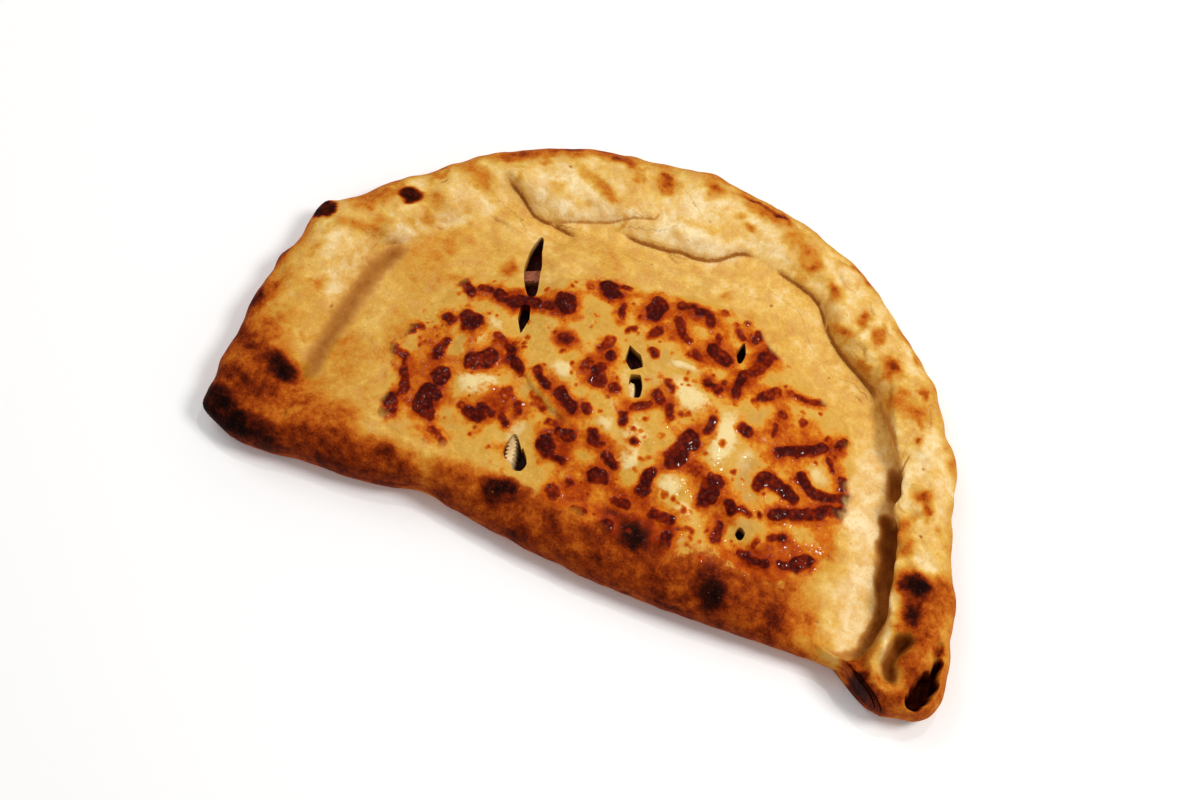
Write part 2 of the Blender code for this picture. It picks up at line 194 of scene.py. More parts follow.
# Creases where the dough is folded or pinched: line, depth, width, step (the left side stands higher,
# fading over the reach), reach, and recessShade (how dark its bottom is painted: painted shade, with some browning).
creases = [
    ([(-74, 46.5), (-66, 42.5), (-60, 38.8), (-56, 38), (-51, 38.4), (-46, 37.2), (-41, 36.5)], 1.1, 0.8, 0.8, 7, 0.75),
    ([(-53, 38), (-46, 41), (-38, 44), (-33, 46), (-25, 50), (-18, 52), (-16.5, 58)], 0.8, 1.2, 0.7, 6, 0.42),
    ([(-28, 55.5), (-24, 52.7), (-19, 52.3)], 0.5, 1.0, 0.0, 4, 0.18),
    ([(-27, 44), (-20, 43.4), (-10, 44), (-5, 45.3), (0, 45), (5, 46), (9, 48), (13, 52), (16, 54), (21, 54)],
     0.8, 0.8, 0.7, 6, 0.62),
    ([(-10, 43.8), (-7, 42), (-4.5, 41), (-2, 42.6), (-1, 44)], 0.6, 0.8, 0.4, 3, 0.35),
    ([(-75, 31.8), (-71, 31.3), (-67, 31.3), (-66.4, 28)], 0.6, 0.7, 0.6, 5, 0.35),
    ([(-90, 19.6), (-86, 20.4)], 0.4, 0.5, 0.0, 3, 0.4),
    ([(28, 53), (36, 51.2), (44, 49.5), (48, 47.2), (51, 44.3), (53.3, 41.3), (55.5, 38.6), (58.5, 36), (62, 33.8),
      (66, 31.6), (71, 29.2), (76, 26.8), (81, 24)], 0.9, 0.8, 0.5, 6, 0.7),
    ([(48.5, 47), (51.5, 44), (53.5, 41)], 0.8, 1.4, 0.0, 4, 0.45),
    ([(79, 26), (83, 20.5), (87, 15.5), (91, 9.5), (95, 3)], 0.7, 0.7, 0.5, 5, 0.4),
    ([(85, 21.5), (87, 17.5), (89, 14.5)], 0.4, 0.6, 0.3, 3, 0.32),
    ([(82, 28.5), (84, 23), (86.5, 18.5)], 0.7, 1.0, 0.8, 5, 0.3),
    ([(98, 7.5), (97.5, 2), (97.5, -4)], 1.3, 1.2, 0.0, 4, 0.55),
    ([(94.5, 2.5), (97, -3), (99.5, -8.5)], 0.8, 1.0, 0.0, 4, 0.4),
    ([(96.5, -9.3), (99, -10.2), (101.5, -13.5), (105, -15)], 0.6, 0.6, 0.8, 4, 0.35),
    ([(97, 27), (100, 20), (102, 14.5)], 0.6, 0.8, 0.5, 5, 0.28),
    ([(64, 54), (66, 50.5), (68.5, 49)], 0.6, 0.7, 0.4, 4, 0.35),
    ([(50, 58.5), (54, 56), (58, 55), (60, 57)], 0.7, 1.2, 0.0, 4, 0.25),
    ([(47, 64), (50, 59), (53, 55)], 0.6, 1.0, 0.5, 5, 0.15),
    ([(66.5, 36.4), (69, 35.6), (70.5, 32.5)], 0.6, 0.9, 0.4, 4, 0.3),
    ([(70, 49), (74, 45.5), (77, 44.5)], 0.6, 0.8, 0.4, 4, 0.28),
    ([(82, 42.5), (79, 41), (81.5, 40)], 0.4, 0.8, 0.0, 3, 0.22),
    ([(-95.6, 34.2), (-93.6, 35.2), (-93, 37.3)], 0.5, 0.6, 0.0, 3, 0.45),
    ([(-8.5, 64), (-6, 62)], 0.4, 0.8, 0.0, 3, 0.4), ([(-47, 59.5), (-45, 59)], 0.3, 0.5, 0.0, 3, 0.3),
    ([(-105.3, 8.5), (-107, 3), (-107.5, -1), (-107, -5)], 0.7, 0.7, 0.5, 5, 0.35),
    ([(-107.5, -5), (-109.5, -14), (-110.5, -24), (-112, -27)], 0.6, 0.9, 0.4, 5, 0.25),
    ([(-104, -63), (-104.3, -67), (-104, -73)], 0.9, 0.5, 0.0, 3, 0.55),
    ([(-106, 6), (-107, 8), (-105, 11)], 0.6, 0.9, 0.0, 4, 0.3),
    ([(104, -36), (107, -40), (109.5, -46), (110, -49)], 0.9, 0.6, 0.7, 5, 0.6),
    ([(71, 22.5), (74, 21.6), (76.4, 20.8)], 0.3, 0.6, 0.0, 3, 0.42),
    ([(-42, -9), (-42.3, -13), (-41.5, -18)], 0.6, 0.7, 0.0, 3, 0.3),
    ([(-44, -17), (-36, -24), (-28, -29), (-20, -33), (-12, -35)], 0.7, 1.2, 0.9, 6, 0.2),
    ([(-5.5, 30.5), (8, 31), (16, 31)], 0.3, 0.9, 0.0, 4, 0.16), ([(-26, 26.2), (-14, 26.4), (-8, 25.8)], 0.25, 0.7, 0, 4, 0.16),
    ([(8, 0), (12, -0.8), (18, -0.7), (24, 1)], 0.35, 0.8, 0.0, 4, 0.2),
]

# The open end of the rolled edge: ridges (line, height, width), valleys (line, depth, width, how dark their painted
# shade is), and the hollow of the scroll.
curlEnd = {
    "ridges": [
        ([(116.9, -55), (116, -59.5), (114.4, -63.5), (113.4, -68), (115.4, -72), (119, -75.4)], 2.8, 1.5),
        ([(121, -72.5), (124, -75.5)], 1.6, 2.0),
        ([(124.5, -58), (125, -63), (126, -69)], 2.6, 3.6),
        ([(133.6, -50.5), (136, -56), (136.8, -64), (136.3, -71), (132.8, -76), (127.5, -79), (120, -79.8)], 1.6, 1.7),
    ],
    "valleys": [
        ([(121.5, -55), (119.6, -57)], 2.0, 2.4, 0.8), ([(120.4, -56.5), (119.3, -60.5), (118.4, -65.6), (120.2, -68.8)], 3.8, 2.3, 0.75),
        ([(111, -49), (111.5, -56), (110.5, -64), (110.8, -71)], 1.6, 1.6, 0.42),
        ([(120.4, -66.5), (122, -71)], 1.6, 1.2, 0.3),
        ([(131.5, -51.5), (132, -56)], 3.0, 1.2, 0.45),
    ],
    "hollow": [([(133.2, -58), (133.2, -63)], 0.9), ([(132.4, -65.5), (131.4, -70)], 2.9), ([(130.6, -72.6)], 2.4)],
    "hollowDepth": 12.0,
}

# Steam slits: line down the middle, width, and how sharply each end narrows.
slits = [
    {"line": [(-53.2, 31.8), (-52.2, 24), (-49.4, 15), (-46.8, 9.5), (-44.6, 5)], "width": 7.0, "ends": (0.5, 0.3)},
    {"line": [(-45, 1.2), (-43.6, -3.5), (-42, -9.6)], "width": 4.4, "ends": (0.15, 0.9)},
    {"line": [(-5, 0.8), (-2.2, -2.8), (1, -6.4)], "width": 5.8, "ends": (1.0, 0.1)},
    {"line": [(1.4, -8.6), (3.2, -12.6), (4.8, -16.8)], "width": 4.8, "ends": (0.12, 0.14)},
    {"line": [(-27.6, -44.5), (-26, -50), (-22.4, -52.5), (-21.8, -55.6)], "width": 7.6, "ends": (0.6, 0.3)},
    {"line": [(30.2, 20.4), (30.8, 16), (31.7, 12)], "width": 3.6, "ends": (0.6, 0.4)},
    {"line": [(55.2, -42.6), (56.2, -44.6), (57, -46.2)], "width": 3.8, "ends": (0.5, 0.4)},
]


def slitReach(x, y):  # distance from the nearest slit's middle line
    return np.min([strokeDistance(x, y, slit["line"])[0] for slit in slits], axis=0)


def hollowReach(x, y):  # distance outside the hollow of the curl, less than nothing inside it
    return np.min([strokeDistance(x, y, line)[0] - width for line, width in curlEnd["hollow"]], axis=0)


def pleatShare(turn, past):  # slanting pleats across the rolled rim, strongest on the right
    slant = lumps(turn * 110 + past * 0.9, past * 0.4, 4.4, 27.0) + 0.5 * lumps(turn * 110 - past * 0.6, past * 0.6, 2.6, 28.0)
    return slant * byTurn([(0, 1), (50, 0.8), (75, 0.5), (130, 0.4), (180, 0.5), (215, 0), (320, 0), (335, 1)], turn)


def surfaceHeight(x, y):  # height of the upper side over plan places inside the outline
    armX, armY = x - form["middle"][0], y - form["middle"][1]
    turn, reach = np.arctan2(armY, armX), np.hypot(armX, armY)
    lip, outer = lipLine.radius(turn), outline.radius(turn)
    degrees = np.degrees(turn) % 360
    fadesLeft = np.where(degrees > 180, smooth(*form["rimFades"], degrees), 1.0)
    rimShare = np.maximum(fadesLeft, smooth(*form["rimEnds"], degrees))
    grooveShare = np.maximum(fadesLeft, smooth(*form["grooveEnds"], degrees))

    inward = 1 - np.minimum(1, reach / lip)
    start = mix(form["fold"], byTurn(form["groove"], turn), grooveShare)
    away = np.hypot(x - form["domeAt"][0], y - form["domeAt"][1]) / form["domeReach"]
    crown = mix(form["fold"], form["dome"], np.exp(-(away**2)))
    sheet = mix(start, crown, smooth(0, form["domeStart"], inward) ** 0.8)
    sheet += 1.1 * lumps(x, y, 24, 3.1) * smooth(0, 0.2, inward) + 0.35 * lumps(x, y, 9, 1.7)
    sheet -= 1.6 * np.exp(-((slitReach(x, y) / 7) ** 2))

    past = np.maximum(0, reach - lip)  # millimetres outwards from the foot of the rim
    across = past / np.maximum(outer - lip, 0.5)
    crest = byTurn(form["crest"], turn) + 1.0 * lumps(x, y, 15, 7.7)
    rise = np.minimum(1, past / byTurn(form["rise"], turn))
    roll = mix(np.sqrt(np.maximum(0, 1 - (1 - rise) ** 2)), rise * rise * (3 - 2 * rise), byTurn(form["soft"], turn))
    rolled = mix(sheet, crest, roll * rimShare)
    level = form["level"] * rimShare
    rounding = np.clip((across - level) / (1 - level), 0, 1)
    edge = form["edge"]
    height = edge + (rolled - edge) * np.sqrt(np.maximum(0, 1 - rounding ** form["rounding"]))

    inside = smooth(1.0, 0.93, across)
    height += 0.75 * pleatShare(turn, past) * smooth(0.5, 4, past) * inside * rimShare
    for at, radii, tilt, rises in swells:
        height += rises * spotShare(x, y, at, radii, tilt) * inside
    for line, depth, width, step, reaches, _ in creases:
        side = strokeSide(x, y, line)
        away, along, length = strokeDistance(x, y, line)
        taper = smooth(-0.5, min(3, length / 3), np.minimum(along, length - along))
        height -= depth * np.exp(-((away / width) ** 2)) * taper * inside
        if step:
            raised = np.tanh(side / (width * 0.8)) * np.exp(-((away / reaches) ** 2))
            height += step * raised * taper * inside
    for line, rises, width in curlEnd["ridges"]:
        height += rises * np.exp(-((strokeDistance(x, y, line)[0] / width) ** 2))
    for line, depth, width, _ in curlEnd["valleys"]:
        height -= depth * np.exp(-((strokeDistance(x, y, line)[0] / width) ** 2))
    height -= curlEnd["hollowDepth"] * smooth(1.2, -1.0, hollowReach(x, y))
    height += (0.42 * lumps(x, y, 8, 2.5) * smooth(0, 4, past) + 0.24 * lumps(x, y, 3.8, 5.5)) * inside
    height += 0.09 * lumps(x, y, 1.7, 9.1) * inside
    return np.maximum(height, 4.0)


# ---- where it has browned, and where shade is painted ----

baking = {
    # browned patches: place, radii, turn, how dark they are (0.5 orange, 0.7 brown, 1 burnt)
    "patches": [
        ((-119, -54), (17, 9), 0, 0.66), ((-118, -66), (18, 9), 0, 0.7), ((-126, -43), (8, 6), 0, 0.56),
        ((-104, -64), (9, 7), 0, 0.6), ((-88, -62), (8, 5), 0, 0.56), ((-131, -60), (7, 14), 0, 0.6),
        ((-126, -49.5), (10, 3), -12, 0.74), ((-114, -53.4), (5.8, 4), -14, 0.92), ((-112.3, -55), (3.6, 3.2), 0, 0.97),
        ((-131, -62), (6, 3), 0, 0.78), ((-122, -64), (9, 3), -4, 0.78), ((-117, -70), (8, 3), 0, 0.58),
        ((-130, -73), (10, 5.5), -20, 0.94), ((-123, -77), (10, 4.5), -5, 0.97), ((-110, -78), (8, 3.6), 0, 0.86),
        ((-136.5, -13), (3.5, 4), 0, 0.74), ((-134.5, -32.5), (4.6, 5), 0, 0.86), ((-131, -27), (4.5, 6), 0, 0.6),
        ((-133.5, -47), (4, 4), 0, 0.78), ((-134, -4), (4, 12), 0, 0.52), ((-122, -38), (8, 10), 0, 0.42),
        ((-91, -65), (8, 6), 0, 0.57), ((-84, -70), (8, 5), 0, 0.64), ((-86, -76.5), (16, 4.5), 0, 0.78),
        ((-98, -74), (6, 5), 0, 0.62), ((-65, -67.5), (3.6, 3.4), 10, 0.78), ((-63, -72), (9, 4), 0, 0.66),
        ((-24, -64.5), (10, 5.2), 4, 0.86), ((-23, -63), (6, 3.6), 0, 0.9), ((-10, -66), (10, 6), 0, 0.64),
        ((-40, -66), (8, 6), 0, 0.62), ((24, -58), (11, 5.6), 3, 0.84), ((24, -61), (5.2, 4), 0, 0.95),
        ((14, -56), (5, 3), 0, 0.8), ((40, -66), (3, 2.6), 0, 0.7), ((55, -66.5), (6.4, 5.8), 0, 0.86),
        ((55.5, -66.5), (4.2, 4.2), 0, 0.96), ((71, -58), (17, 9), 0, 0.6), ((66, -52), (12, 4), 0, 0.62),
        ((80, -66), (9, 5), 0, 0.56), ((10, -70), (24, 5), 0, 0.68),
        ((-113, 21), (5, 7), -40, 0.55), ((-118, 17), (5, 4), -40, 0.52), ((-114, 6.5), (9, 2.4), 12, 0.47),
        ((-108, 11), (3, 4), 10, 0.42), ((-94, 27), (5, 4), 20, 0.45), ((-86, 44), (8, 4), -12, 0.5),
        ((-81, 41), (4, 2.6), 0, 0.5), ((-76, 57), (10, 3.8), 34, 0.62), ((-68, 62), (6, 3), 28, 0.58),
        ((-57, 68.5), (5, 2.4), 18, 0.66), ((-56, 66), (4, 3), 10, 0.55), ((-42, 71.5), (9, 2.8), -4, 0.64),
        ((-36, 69.5), (4, 2.4), -35, 0.6), ((-20.5, 68.5), (4.6, 4), -40, 0.58), ((-21.5, 70.5), (1.8, 1.4), 0, 0.7),
        ((-44, 57.5), (11, 2.4), -22, 0.46), ((-36, 53.5), (4, 1.6), -25, 0.44), ((-3.5, 73), (4.4, 3), -20, 0.6),
        ((-5, 78), (4, 3), 20, 0.5), ((12, 74.5), (7, 1.6), -8, 0.7), ((22, 72.5), (6, 1.7), -14, 0.76),
        ((17, 71), (10, 2.4), -8, 0.55), ((14.5, 63), (2.4, 1.5), 0, 0.5), ((9, 66), (2.5, 1.4), 0, 0.46),
        ((31, 66), (4, 5), -50, 0.5), ((40.5, 58), (3.2, 3.6), 0, 0.6), ((37, 61.5), (4, 4.4), -35, 0.5),
        ((51, 52.5), (4.4, 2.2), -35, 0.58), ((62, 62), (3.4, 2.4), -35, 0.58), ((65, 46.5), (2.8, 4.6), 8, 0.57),
        ((60, 39.5), (5.6, 1.9), -14, 0.52), ((72, 42.5), (2.4, 4.4), 8, 0.53), ((80, 34), (4.4, 4.4), 0, 0.6),
        ((80.5, 34.8), (2.8, 2.4), 0, 0.7), ((78.5, 49), (4, 2.2), -30, 0.52), ((87, 42), (3.2, 1.8), -40, 0.56),
        ((87, 24), (4.6, 5.4), 15, 0.5), ((94.5, 21), (4, 3.4), 0, 0.54), ((98.5, 12), (1.6, 2.4), -25, 0.6),
        ((113, 12), (2.4, 6), 8, 0.48), ((108, -6.5), (4, 3.6), -20, 0.58), ((110.5, -10.5), (1.8, 2.4), 0, 0.66),
        ((104.8, -21), (2.4, 4.4), 0, 0.52), ((108.5, -26.5), (2.8, 4.6), 0, 0.52), ((116.8, -37.4), (7.2, 4.8), -8, 0.86),
        ((116.6, -37), (5.4, 4), 0, 0.95), ((119.2, -46.8), (4.6, 5.8), 0, 0.96),
        ((124, -43), (7, 8), 0, 0.62), ((123, -50), (5, 6), 0, 0.6), ((120, -41.5), (6, 5), -40, 0.66),
        ((128, -36), (6, 7), 0, 0.56), ((125.5, -34), (4, 4), 0, 0.6), ((125.5, -56), (5.6, 8), 0, 0.62),
        ((131.8, -54), (2, 2.4), 0, 0.74), ((126.5, -64), (6, 6), 0, 0.66), ((128.6, -68), (3.6, 4), 0, 0.74), ((119, -57), (3, 8), 10, 0.6),
        ((111.5, -74.5), (3.6, 4.2), -40, 0.95), ((114, -77), (5, 3), -30, 0.93), ((118, -79), (7, 3), -12, 0.76),
        # The patch at (110.5, -60) is painted shade beside the curl's pale ridge.
        ((122, -77), (5, 3.4), 10, 0.62), ((117, -72), (2.6, 2.6), 0, 0.5), ((110.5, -60), (3, 8), 0, 0.44), ((109.4, -68), (3.4, 5), 0, 0.6),
        ((113, -79), (8, 3.4), -24, 0.9), ((121, -71), (3, 3), 0, 0.56), ((118, -52), (3, 4), 0, 0.4),
        ((132.5, -78), (8, 3), 20, 0.6), ((137, -68), (2.6, 8), -10, 0.58),
        ((125, -74.5), (4, 3), 30, 0.66), ((137.8, -62), (2.2, 8), 0, 0.5), ((129, -79), (8, 2.4), 10, 0.56),
        ((106.5, -71), (3.4, 5), 0, 0.66), ((-57.5, 13), (3.4, 4.6), 0, 0.57), ((-26, -7), (5, 3.6), 0, 0.7), ((-26.5, -7), (3, 2.2), 0, 0.82),
        ((-93, -46), (5, 3.4), 0, 0.44), ((-95, -40), (8, 12), 0, 0.38), ((93, -67), (7, 4), 0, 0.5),
        ((-74, 2.5), (5, 2), -10, 0.42), ((17.5, 34), (1.8, 2.8), 0, 0.46), ((29, 31), (2, 2), 0, 0.42),
        ((-98, 16), (2.2, 1.8), 0, 0.42), ((-81, 12.5), (1.6, 2.8), 0, 0.45), ((84, -38), (8, 12), 0, 0.44),
    ],
    # paler dough: place, radii, turn, how pale
    "pales": [
        ((-2, 51), (19, 6.5), 4, 0.02), ((-52, 45), (15, 5), -4, 0.04), ((-33, 57), (9, 4), -30, 0.1), ((-84, 33), (12, 6), 38, 0.1),
        ((-100, 11), (6, 4), 30, 0.08), ((-116, -1), (9, 7), 20, 0.06), ((-112, -16), (5, 8), 0, 0.12), ((91, -30), (9, 18), 10, 0.08),
        ((97, -48), (9, 16), 0, 0.08), ((99, -62), (8, 10), 0, 0.12), ((88, -5), (6, 14), 10, 0.12), ((62, 26), (14, 6), -20, 0.2),
        ((67, 41), (1.6, 6), -22, 0.0), ((70, 55), (7, 3), -35, 0.08), ((84, 42), (8, 3), -40, 0.05), ((104, 6), (5, 12), 18, 0.08),
        ((112, -2), (3, 8), 12, 0.04), ((100, 0), (3, 5), 10, 0.1), ((105, -12), (3, 4), 0, 0.12), ((116, -29), (7, 3), 10, 0.04),
        ((115, -61), (1.8, 7.5), 10, 0.04), ((28, 58), (10, 5), -18, 0.1), ((50, 60), (8, 4), -30, 0.12), ((114, 4), (2, 8), 15, 0.04),
        ((-60, 30), (14, 6), 0, 0.16), ((10, 38), (20, 4), 0, 0.16), ((-95, -20), (8, 16), 0, 0.22), ((40, 42), (12, 5), -15, 0.14),
    ],
    # dark blisters with a crisp edge: place, radii, turn, how dark
    "blisters": [((-129.2, 8.8), (5.6, 4.2), -12, 0.9), ((-102.6, 25.2), (4.8, 3.4), 8, 0.93), ((-137, -12), (2.2, 2.6), 0, 0.8)],
    # how much the rim is flecked with orange round the calzone
    "fleck": [(0, 0.9), (50, 1), (75, 0.6), (110, 0.7), (140, 0.8), (180, 0.9), (215, 0.6), (325, 0.3), (340, 0.8)],
    # how brown the outer side is round the calzone
    "side": [(0, 0.34), (15, 0.36), (35, 0.42), (60, 0.44), (85, 0.44), (110, 0.52), (140, 0.56), (165, 0.56),
             (185, 0.6), (200, 0.6), (215, 0.8), (240, 0.72), (262, 0.70), (290, 0.7), (318, 0.54), (332, 0.55), (345, 0.46)],
    # pits: small dark points of painted shade: place and how dark
    "pits": [(-110, -24, 0.9), (-77, 6, 0.6), (91, -60, 0.8), (112, -20, 0.9), (-63, 35, 0.6), (-88, -26, 0.7),
             (-95, -38, 0.8), (61.5, 23.5, 0.7), (0.5, 59, 0.5), (-54.5, 59, 0.8), (33, 38.5, 0.9), (20, 41, 0.6),
             (-30, 33, 0.5), (75, -60, 0.7), (-12, 36, 0.5), (104, 3, 0.6), (-123, -15, 0.5)],
}


def planPlace(x, y):  # turn round the middle, reach from it, and the reach of the rim's foot and of the outline
    armX, armY = x - form["middle"][0], y - form["middle"][1]
    turn, reach = np.arctan2(armY, armX), np.hypot(armX, armY)
    return turn, reach, lipLine.radius(turn), outline.radius(turn)


def bakeAmount(x, y):
    turn, reach, lip, outer = planPlace(x, y)
    degrees = np.degrees(turn) % 360
    wx = x + 1.2 * lumps(x, y, 5, 21.0) + 0.5 * lumps(x, y, 1.9, 22.0)
    wy = y + 1.2 * lumps(x, y, 5, 31.0) + 0.5 * lumps(x, y, 1.9, 32.0)
    onRim = smooth(-1, 3, reach - lip)
    across = np.clip((reach - lip) / np.maximum(outer - lip, 0.5), 0, 1)
    sheet = 0.27 + 0.06 * lumps(x, y, 16, 2.2) + 0.09 * smooth(-66, -86, x) - 0.13 * smooth(76, 92, x) * smooth(16, 0, y)
    rim = 0.17 + 0.12 * lumps(x, y, 15, 4.4) + 0.09 * smooth(-100, -128, x) + 0.05 * smooth(50, 90, x)
    rim += 0.08 * pleatShare(turn, reach - lip) + 0.34 * smooth(0.2, 0.7, lumps(wx, wy, 8.5, 24.0) + 0.3 * lumps(wx, wy, 2.6, 29.0)) * byTurn(baking["fleck"], turn)
    base = mix(sheet, rim, onRim)
    side = byTurn(baking["side"], turn) + 0.10 * lumps(x, y, 9, 8.4)
    base = mix(base, np.maximum(base, side), smooth(0.74, 1.0, across) * (degrees < 215))
    base = mix(base, np.maximum(base, side), smooth(0.6, 1.0, across) * (degrees > 322))
    starts = np.interp(x, [-100, -84, -40, -10, 30, 60, 90], [-59, -57, -57, -53, -51, -46, -46])
    front = smooth(0, -14, y - starts) * smooth(102, 88, x) * smooth(-108, -94, x)
    base = mix(base, np.maximum(0.67 + 0.14 * lumps(x, y, 9, 6.6) + 0.07 * lumps(x, y, 3, 6.1), base), front)
    base = mix(base, 0.72, smooth(-70, -75, y) * smooth(108, 96, x))
    for at, radii, tilt, level in baking["pales"]:
        base = mix(base, np.minimum(base, level + 0.05 * lumps(x, y, 4, 16.0)), 0.8 * spotShare(wx, wy, at, radii, tilt, 2.4))
    for at, radii, tilt, level in baking["patches"]:
        near = np.abs(wx - at[0]) + np.abs(wy - at[1]) < 3.2 * max(radii)
        level = level + 0.05 * lumps(x[near], y[near], 2.4, 15.0)
        base[near] = mix(base[near], np.maximum(base[near], level), spotShare(wx[near], wy[near], at, radii, tilt, 2.6))
    # the curl's hollow is painted near black: burnt dough, with painted shade deep in the hollow
    base = mix(base, 0.88 + 0.14 * smooth(-62, -67, y), smooth(0.9, -0.3, hollowReach(wx, wy)))
    for at, radii, tilt, level in baking["blisters"]:
        base = mix(base, level, spotShare(wx, wy, at, radii, tilt, 9))
    return base


def recessShadeAmount(x, y):  # brown shade in valleys and pits
    clear = np.ones(x.shape)
    for line, depth, width, _, _, recessShade in creases:
        away, along, length = strokeDistance(x, y, line)
        taper = smooth(-0.5, min(4, length / 3), np.minimum(along, length - along))
        clear *= 1 - 0.2 * recessShade * np.exp(-((away / (0.9 + width)) ** 2)) * taper
    for line, _, width, recessShade in curlEnd["valleys"]:
        clear *= 1 - recessShade * np.exp(-((strokeDistance(x, y, line)[0] / (width * 1.2)) ** 2))
    for px, py, strength in baking["pits"]:
        clear *= 1 - strength * 0.7 * np.exp(-((np.hypot(x - px, y - py) / 0.7) ** 2))
    return 1 - clear


def creaseLines(x, y):  # signed distance to the nearest crease in millimetres, and how dark that one is there
    side, dark = np.full(x.shape, 9.0), np.zeros(x.shape)
    for line, _, _, _, _, recessShade in creases:
        away, along, length = strokeDistance(x, y, line)
        near = (away < np.abs(side)) & (away < 8)
        taper = smooth(-0.8, min(5, length / 3), np.minimum(along, length - along))
        side = np.where(near, strokeSide(x, y, line), side)
        dark = np.where(near, recessShade * taper, dark)
    return side, dark


grooveShade = {  # painted shade low in the groove under the rolled lip, over dough that is browner there, and down the valley inside the left rim: round the calzone in degrees, how dark and how wide
    "dark": [(-34, 0), (-29, 0.34), (-23, 0.46), (-19, 0.56), (-14, 0.66), (-8, 0.74), (-3, 0.72), (-1.8, 0.3), (0.2, 0.3),
             (1, 0.55), (4, 0.56), (6.5, 0.46), (9, 0)],
    "wide": [(-34, 4), (-24, 4.5), (-19, 5), (-14, 7), (-8, 8), (-4, 6), (-1.5, 3), (2, 5), (6, 3.4), (10, 2)],
    "valley": [(-105.5, -50), (-105.5, -38), (-104.5, -20), (-102.5, -3), (-98.5, 5)],
}


def shadeAmount(x, y, z):
    turn, reach, lip, _ = planPlace(x, y)
    wide = byTurn(grooveShade["wide"], turn) * (1 + 0.4 * lumps(x, y, 6, 25.0))
    # painted shade: a band low in the groove beside the lip, and a soft band down the left valley
    band = smooth(wide, wide * 0.2, lip - 1.5 - reach) * smooth(2, 0.5, reach - lip) * smooth(18, 14, z) * smooth(60, 80, x)
    soft = 0.42 * np.exp(-((strokeDistance(x, y, grooveShade["valley"])[0] / 5) ** 2))
    return np.maximum(byTurn(grooveShade["dark"], turn) * band, soft)


# ---- melted cheese: thick pale pools and browned shreds ----

